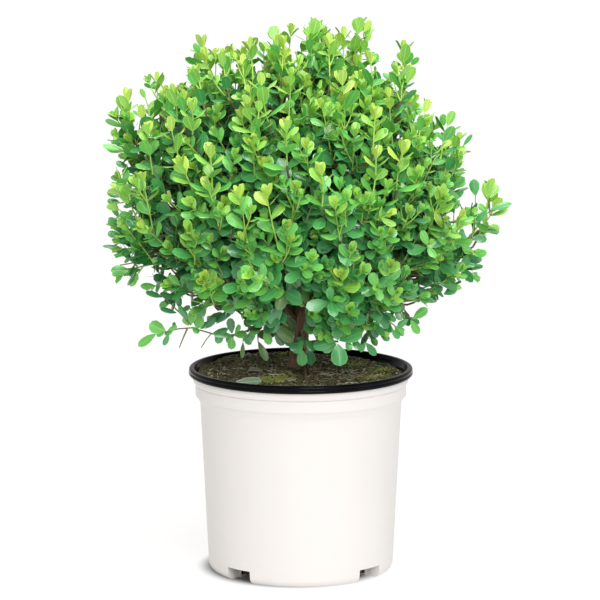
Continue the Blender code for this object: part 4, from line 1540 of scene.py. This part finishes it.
# %% Leaves set out one by one
PLACED_LEAVES = in_metres(5, (  # foot across and up, tip across and up, depth; width, shade
    (37, 232, 39, 258, -86, 162, 3), (36, 231, 12, 226, -85, 118, 3),
    (38, 232, 62, 241, -85, 147, 3), (35, 235, 23, 238, -84, 78, 3),
    (38, 234, 45, 242, -87, 59, 2), (36, 233, 32, 242, -88, 49, 2),
    (10, 272, 11, 255, -80, 118, 2), (3, 281, 1, 266, -78, 108, 2),
    (40, 284, 43, 266, -80, 147, 3), (42, 268, 52, 255, -74, 118, 3),
    (13, 257, 5, 242, -60, 108, 4), (17, 252, 19, 231, -72, 98, 3),
    (-28, 248, -7, 231, -52, 127, 5), (-39, 246, -52, 240, -62, 98, 2),
    (-37, 243, -30, 228, -64, 98, 2), (-38, 244, -29, 250, -60, 78, 3),
    (-49, 261, -55, 246, -50, 98, 5), (-68, 238, -54, 239, -52, 88, 2),
    (-68, 237, -88, 239, -52, 78, 3), (-69, 236, -70, 223, -54, 88, 2),
    (-69, 239, -71, 255, -50, 88, 4), (-66, 240, -61, 248, -50, 59, 2),
    (-43, 232, -34, 211, -46, 78, 5), (-58, 231, -59, 214, -46, 49, 5),
    (-132, 239, -138, 227, -43, 59, 3), (-127, 243, -127, 251, -40, 39, 4),
    (-134, 242, -124, 247, -42, 49, 2), (-136, 241, -145, 237, -44, 59, 2),
    (-104, 244, -98, 255, -51, 78, 2), (-97, 244, -86, 255, -50, 78, 4),
    (-109, 246, -102, 240, -52, 69, 2), (-112, 247, -118, 255, -48, 59, 2),
    (-124, 260, -141, 265, -44, 64, 4), (-120, 262, -111, 267, -46, 59, 4),
    (-85, 249, -69, 265, -52, 78, 4), (-138, 276, -155, 282, -44, 69, 4),
    (-121, 264, -123, 278, -46, 69, 4), (-100, 254, -99, 270, -52, 88, 3),
    (65, 230, 76, 217, -46, 83, 3), (77, 256, 92, 241, -52, 118, 3),
    (80, 255, 65, 269, -54, 127, 2), (81, 261, 98, 277, -52, 127, 2),
    (94, 259, 103, 270, -48, 98, 5), (65, 231, 60, 220, -46, 49, 3),
    (108, 508, 117, 516, -10, 59, 2), (103, 508, 110, 521, -12, 78, 2),
    (102, 504, 90, 512, -10, 69, 4), (-125, 274, -141, 281, -44, 73, 4),
    (-112, 252, -122, 267, -48, 69, 3), (-128, 242, -137, 238, -43, 49, 3),
    (-178, 425, -197, 429, -20, 69, 2), (-176, 389, -189, 392, -20, 39, 2),
    (-179, 371, -193, 374, -20, 78, 3), (-181, 356, -188, 368, -20, 59, 3),
    (-178, 348, -192, 356, -22, 69, 3), (-179, 338, -193, 341, -22, 78, 3),
    (-182, 327, -198, 328, -20, 39, 4), (-171, 406, -184, 413, -20, 69, 3),
    (149, 371, 162, 384, -40, 59, 3), (156, 310, 174, 308, -30, 59, 3),
    (94, 492, 81, 501, -30, 59, 2), (-17, 260, -8, 242, -24, 118, 5),
    (-7, 247, -15, 230, -22, 108, 5), (-15, 251, -19, 235, -20, 98, 5),
    (1, 223, 1, 206, -56, 113, 3), (7, 225, 11, 207, -52, 108, 4), (2, 227, -12, 225, -52, 98, 4),
    (3, 232, -8, 220, -54, 108, 3), (4, 232, 16, 223, -54, 108, 3), (33, 269, 20, 255, -74, 98, 3),
    (37, 229, 40, 206, -88, 171, 3), (-5, 235, 9, 230, -48, 88, 4),
    (112, 254, 127, 265, -44, 98, 2), (110, 253, 119, 239, -45, 88, 2),
    (108, 254, 97, 246, -44, 69, 3), (143, 279, 156, 286, -34, 93, 3),
    (117, 280, 127, 270, -40, 69, 3), (125, 282, 136, 271, -38, 69, 3),
    (110, 278, 120, 272, -42, 59, 3), (84, 261, 96, 252, -52, 78, 3),
    (79, 242, 89, 232, -46, 78, 3), (91, 244, 99, 234, -44, 69, 3),
    (-79, 242, -84, 229, -50, 88, 3), (-58, 239, -50, 228, -52, 78, 3),
    (174, 378, 172, 395, -20, 108, 3), (186, 377, 182, 392, -20, 69, 1),
    (187, 377, 189, 395, -20, 69, 1), (188, 376, 197, 389, -20, 69, 1),
    (189, 365, 210, 371, -20, 78, 3), (172, 353, 164, 367, -24, 108, 1),
    (186, 362, 177, 370, -18, 69, 2), (-145, 239, -164, 227, -42, 98, 2),
    (-135, 241, -152, 249, -42, 137, 2), (180, 345, 196, 344, -20, 34, 4),
    (150, 387, 163, 397, -30, 98, 3), (186, 364, 175, 353, -22, 78, 3),
    (-179, 377, -193, 382, -20, 64, 3), (-45, 243, -55, 230, -54, 88, 3),
    (-16, 245, -10, 226, -44, 118, 4), (-26, 242, -17, 227, -48, 98, 4),
    (-67, 239, -75, 230, -52, 78, 3), (51, 234, 61, 223, -68, 88, 3),
    (36, 229, 21, 222, -84, 108, 3), (45, 230, 51, 223, -80, 78, 2),
    (29, 235, 17, 228, -78, 98, 4), (-110, 248, -108, 264, -52, 93, 2),
    (-105, 245, -104, 260, -52, 88, 2), (-101, 244, -92, 251, -51, 69, 3),
    (-88, 240, -73, 244, -50, 69, 3), (171, 336, 186, 335, -24, 93, 4),
    (142, 448, 141, 460, -30, 78, 2), (161, 428, 170, 440, -30, 49, 3),
    (71, 247, 77, 235, -50, 78, 4), (95, 264, 101, 253, -44, 78, 3),
    (46, 253, 57, 245, -66, 88, 3), (57, 539, 54, 555, -10, 103, 1),
    (62, 541, 69, 553, -12, 69, 0), (11, 535, 16, 554, -10, 123, 1),
    (-97, 518, -106, 530, -10, 69, 2), (69, 507, 76, 520, -12, 78, 2),
    (-26, 532, -27, 548, -12, 118, 1),
))
PLACED_STEMS = (  # points across, up and depth
    ((-39, 255, -40), (-39, 245, -62)),
    (
        (-51, 243, -40), (-68, 237, -52), (-89, 239, -50), (-109, 245, -50), (-123, 244, -44),
        (-134, 241, -42), (-144, 240, -42),
    ),
    ((-110, 248, -50), (-122, 261, -45), (-138, 277, -44)),
    ((-114, 244, -49), (-118, 235, -49), (-122, 225, -49)),
    ((-90, 239, -50), (-95, 233, -50), (-100, 225, -50)),
    ((79, 273, -30), (78, 256, -52), (65, 230, -46)),
    ((78, 258, -52), (82, 262, -52)),
    ((-43, 239, -44), (-43, 231, -46)),
    ((-57, 239, -46), (-58, 231, -46)),
    ((17, 261, -60), (17, 251, -72)),
    ((29, 277, -50), (33, 269, -78)),
    ((44, 278, -50), (42, 268, -74)),
    ((11, 277, -50), (10, 271, -80)),
    ((-26, 255, -30), (-28, 247, -52)),
    ((97, 267, -30), (104, 259, -44), (111, 254, -44)),
    ((165, 326, -10), (173, 342, -20), (184, 362, -20), (187, 378, -20)),
    ((171, 336, -18), (174, 362, -20), (174, 378, -20)),
    ((-169, 374, -12), (-180, 371, -20)),
    ((-167, 342, -12), (-180, 338, -22)),
    ((1, 241, -40), (3, 231, -53), (4, 224, -54)),
)
TENTHS = 10000  # of a millimetre in a metre
GREEN_FROM = 0.30  # stems above this height are green
BARE_BELOW = 0.24  # stems that hang down from lower than this are bare
BARE_DROP = 0.012
FREE_FROM = -0.045  # stems that start nearer than this leave another stem
SPRIG_HEIGHT = 0.228
SPRIG_BEND = at_depth(0.037, 0.231, -0.086)


def place_leaf(rng, row):
    """One leaf from its foot to its tip, with its face to the front and a little up."""
    foot = at_depth(row[0], row[1], row[4])
    tip = at_depth(row[2], row[3], row[4] + rng.uniform(-0.005, 0.003))
    along = tip - foot
    length = along.length
    along.normalize()
    face = Vector((rng.uniform(-0.35, 0.35), -1.0, rng.uniform(0.2, 0.9)))
    face = (face - along * face.dot(along)).normalized()
    bend = (rng.uniform(0.15, 0.35), rng.uniform(0.02, 0.10), rng.uniform(0.4, 0.9))
    leaf = (*foot, *along, *face, length, row[5] / TENTHS, *bend, rng.choice(TINT_ODDS))
    leaf_rows[SHADE_ORDER[row[6]]].append(leaf)


def grow_sprig():
    """A stem from the trunk to the cross of leaves, and one to those at its foot."""
    share = (SPRIG_HEIGHT - TRUNK_FOOT.z) / (TRUNK_TIP.z - TRUNK_FOOT.z)
    start = trunk_point(share)
    over = start.lerp(SPRIG_BEND, 0.5) + UP * 0.004
    brown_twigs.add(curve_points(start, over, SPRIG_BEND, 6), 0.0015, 0.0010, 0)
    low_end = at_depth(0.003, 0.224, -0.052)
    over = start.lerp(low_end, 0.6) + UP * 0.004
    brown_twigs.add(curve_points(start, over, low_end, 5), 0.0012, 0.0008, 0)


placing_rng = random.Random(SEED + 6)
grow_sprig()
for row in PLACED_LEAVES:
    place_leaf(placing_rng, row)
for rows in PLACED_STEMS:
    line = in_metres(3, rows)
    points = [at_depth(*point) for point in line]
    (_, first_up, first_deep), (_, last_up, _) = line[0], line[-1]
    bare = first_up < BARE_BELOW and last_up < first_up - BARE_DROP
    if not bare and first_deep > FREE_FROM:
        limb = nearest_limb(points[0])
        joint = points[0].lerp(limb, 0.3)
        brown_twigs.add(curve_points(limb, joint, points[0], 5), 0.0014, 0.0010, 0)
    if first_up > GREEN_FROM:
        green_stems.add(points, 0.0011, 0.0007, 1)
    else:
        brown_twigs.add(points, 0.0006 if bare else 0.0010, 0.0005, 0)
print("leaves set out one by one:", len(PLACED_LEAVES))

# %% Twigs and stems as pieces
def twig_paint(name, colour, roughness=0.6):
    return new_material(name, colour, roughness, specular=0.3)[0]


twig_piece = brown_twigs.piece(
    "brown_twigs",
    twig_paint("twig_tan", (0.205, 0.185, 0.085)),
    twig_paint("twig_red_brown", (0.125, 0.100, 0.056)),
)
finish_piece(twig_piece, "bark", angle=0)
stem_piece = green_stems.piece(
    "green_stems",
    twig_paint("stem_yellow_green", (0.39, 0.58, 0.105), 0.45),
    twig_paint("stem_green", (0.26, 0.47, 0.090), 0.45),
    twig_paint("stem_old_green", (0.20, 0.27, 0.085), 0.5),
)
finish_piece(stem_piece, "foliage", angle=0)

# %% Leaves as pieces
TINT_COLUMN = 14  # the last number of a leaf's row

_, faces, marks = leaf_template(LEAF_LINES)
for shade, rows in leaf_rows.items():
    rows = np.array(rows)
    points = leaf_shapes(rows)
    slots = np.where(marks[None, :], len(TINTS), rows[:, TINT_COLUMN:].astype(int))
    piece = heap_of("leaves_" + shade, points, faces, slots, leaf_paints(shade))
    finish_piece(piece, "foliage", angle=0)
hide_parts(*["foliage_" + name for name, _ in masses()], "foliage_sprig")
print("leaves:", sum(map(len, leaf_rows.values())))

# %% [markdown]
# ## Fallen leaves
#
# An old leaf has dropped on the mix and gone grey-green, another has dried to straw, and a
# thin root lies bare beside the trunk. Fine fibres of peat, root and moss lie all over.

# %% Fallen leaves and a bare root
ROOTS = (  # points across and deep
    ((0.003, 0.000), (0.006, -0.030), (0.005, -0.062)),
    ((0.006, 0.004), (0.009, -0.022), (0.015, -0.048)),
)


def build_fallen(name, x, y, turn, length, colour, curl, tilt):
    """A leaf on the mix, that leans to the front by a slope."""
    along = Vector((math.cos(turn), math.sin(turn), 0.0))
    face = along.cross(Vector((0.0, tilt, -1.0)).cross(along)).normalized() * -1.0
    foot = Vector((x, y, mix_height(x, y) + 0.0022 + 0.2 * length * tilt))
    row = np.array([[*foot, *along, *face, length, length * 0.46, 0.5, curl, 0.2]])
    paint = new_material(name, colour, 0.6, specular=0.3)[0]
    pale = tuple(0.5 + 0.5 * c for c in colour)
    edge = new_material(name + "_margin", pale, 0.6, specular=0.3)[0]
    piece = heap_of(name, leaf_shapes(row), faces, marks[None, :].astype(int), [paint, edge])
    finish_piece(piece, "foliage", angle=0)


build_fallen("fallen_grey_leaf", -0.065, -0.071, 0.10, 0.027, (0.24, 0.36, 0.22), -0.06, 0.6)
build_fallen("fallen_dry_leaf", -0.053, -0.012, 0.75, 0.020, (0.30, 0.29, 0.19), 0.10, 0.5)

root = TubeHeap(6)
for line in ROOTS:
    points = [Vector((x, y, mix_height(x, y) + 0.0006)) for x, y in line]
    root.add(curve_points(*points, 8), 0.0020, 0.0008, 0)
root_paint = twig_paint("root_brown", (0.20, 0.125, 0.080))
finish_piece(root.piece("bare_root", root_paint), "bark", angle=0)

# %% Fibres and tufts
FIBRES = 520
FIBRE_STEPS = 5
TUFTS = (  # across, deep, how far it spreads, how many, colour
    (-0.083, -0.006, 0.008, 9, 0),
    (-0.023, -0.030, 0.009, 46, 3),
    (-0.020, -0.034, 0.009, 10, 0),
    (0.029, -0.019, 0.003, 10, 0),
    (0.040, -0.051, 0.003, 6, 0),
    (0.064, -0.006, 0.008, 16, 1),
    (0.049, 0.046, 0.008, 18, 3),
    (0.080, -0.006, 0.005, 9, 3),
    (-0.016, 0.096, 0.004, 12, 3),
    (-0.052, 0.086, 0.009, 22, 1),
    (-0.050, 0.084, 0.009, 12, 0),
)
FIBRE_COLOURS = ((0.72, 0.70, 0.58), (0.40, 0.29, 0.18), (0.100, 0.075, 0.04), (0.38, 0.44, 0.10))
FIBRE_SHARES = (0.28, 0.24, 0.16, 0.32)
MOSSY = 3  # the last of the colours


def build_fibres():
    """Thin bent fibres that lie on the mix, the moss-coloured ones in its patches."""
    rng = np.random.default_rng(SEED + 4)
    heap = TubeHeap(3)
    mossy = moss_spots(rng)
    for i in range(FIBRES):
        slot = int(rng.choice(len(FIBRE_COLOURS), p=FIBRE_SHARES))
        if slot == MOSSY:
            x, y = mossy[int(rng.integers(len(mossy)))]
        else:
            x, y = rng.normal(0, 0.06), rng.normal(0, 0.06)
        turn, bend = rng.uniform(0, math.tau), rng.uniform(-1.4, 1.4)
        length = rng.uniform(0.003, 0.007) if slot == MOSSY else rng.uniform(0.004, 0.013)
        path = []
        for k in range(FIBRE_STEPS + 1):
            if math.hypot(x, y) > MIX_REACH:
                break
            path.append(Vector((x, y, mix_height(x, y) + 0.0008)))
            x += math.cos(turn + bend * k / FIBRE_STEPS) * length / FIBRE_STEPS
            y += math.sin(turn + bend * k / FIBRE_STEPS) * length / FIBRE_STEPS
        if len(path) > FIBRE_STEPS:
            heap.add(path, rng.uniform(0.00018, 0.00034), 0.00012, slot)
    for across, deep, spread, count, slot in TUFTS:
        for _ in range(count):
            x, y = across + rng.normal(0, spread), deep + rng.normal(0, spread)
            if math.hypot(x, y) > MIX_REACH - 0.008:
                continue
            turn, length = rng.uniform(0, math.tau), rng.uniform(0.005, 0.011)
            rise = rng.uniform(0.0004, 0.0016)
            way = Vector((math.cos(turn), math.sin(turn), 0.0)) * length
            foot = Vector((x, y, mix_height(x, y) + 0.0004))
            over = foot + way * 0.5 + UP * rise * 2.0
            end = foot + way + UP * rise * 0.3
            heap.add(curve_points(foot, over, end, FIBRE_STEPS), 0.00045, 0.00025, slot)
    paints = [twig_paint(f"fibre_{i}", colour, 0.8) for i, colour in enumerate(FIBRE_COLOURS)]
    finish_piece(heap.piece("mix_fibres", *paints), "potting_mix", angle=0)


build_fibres()
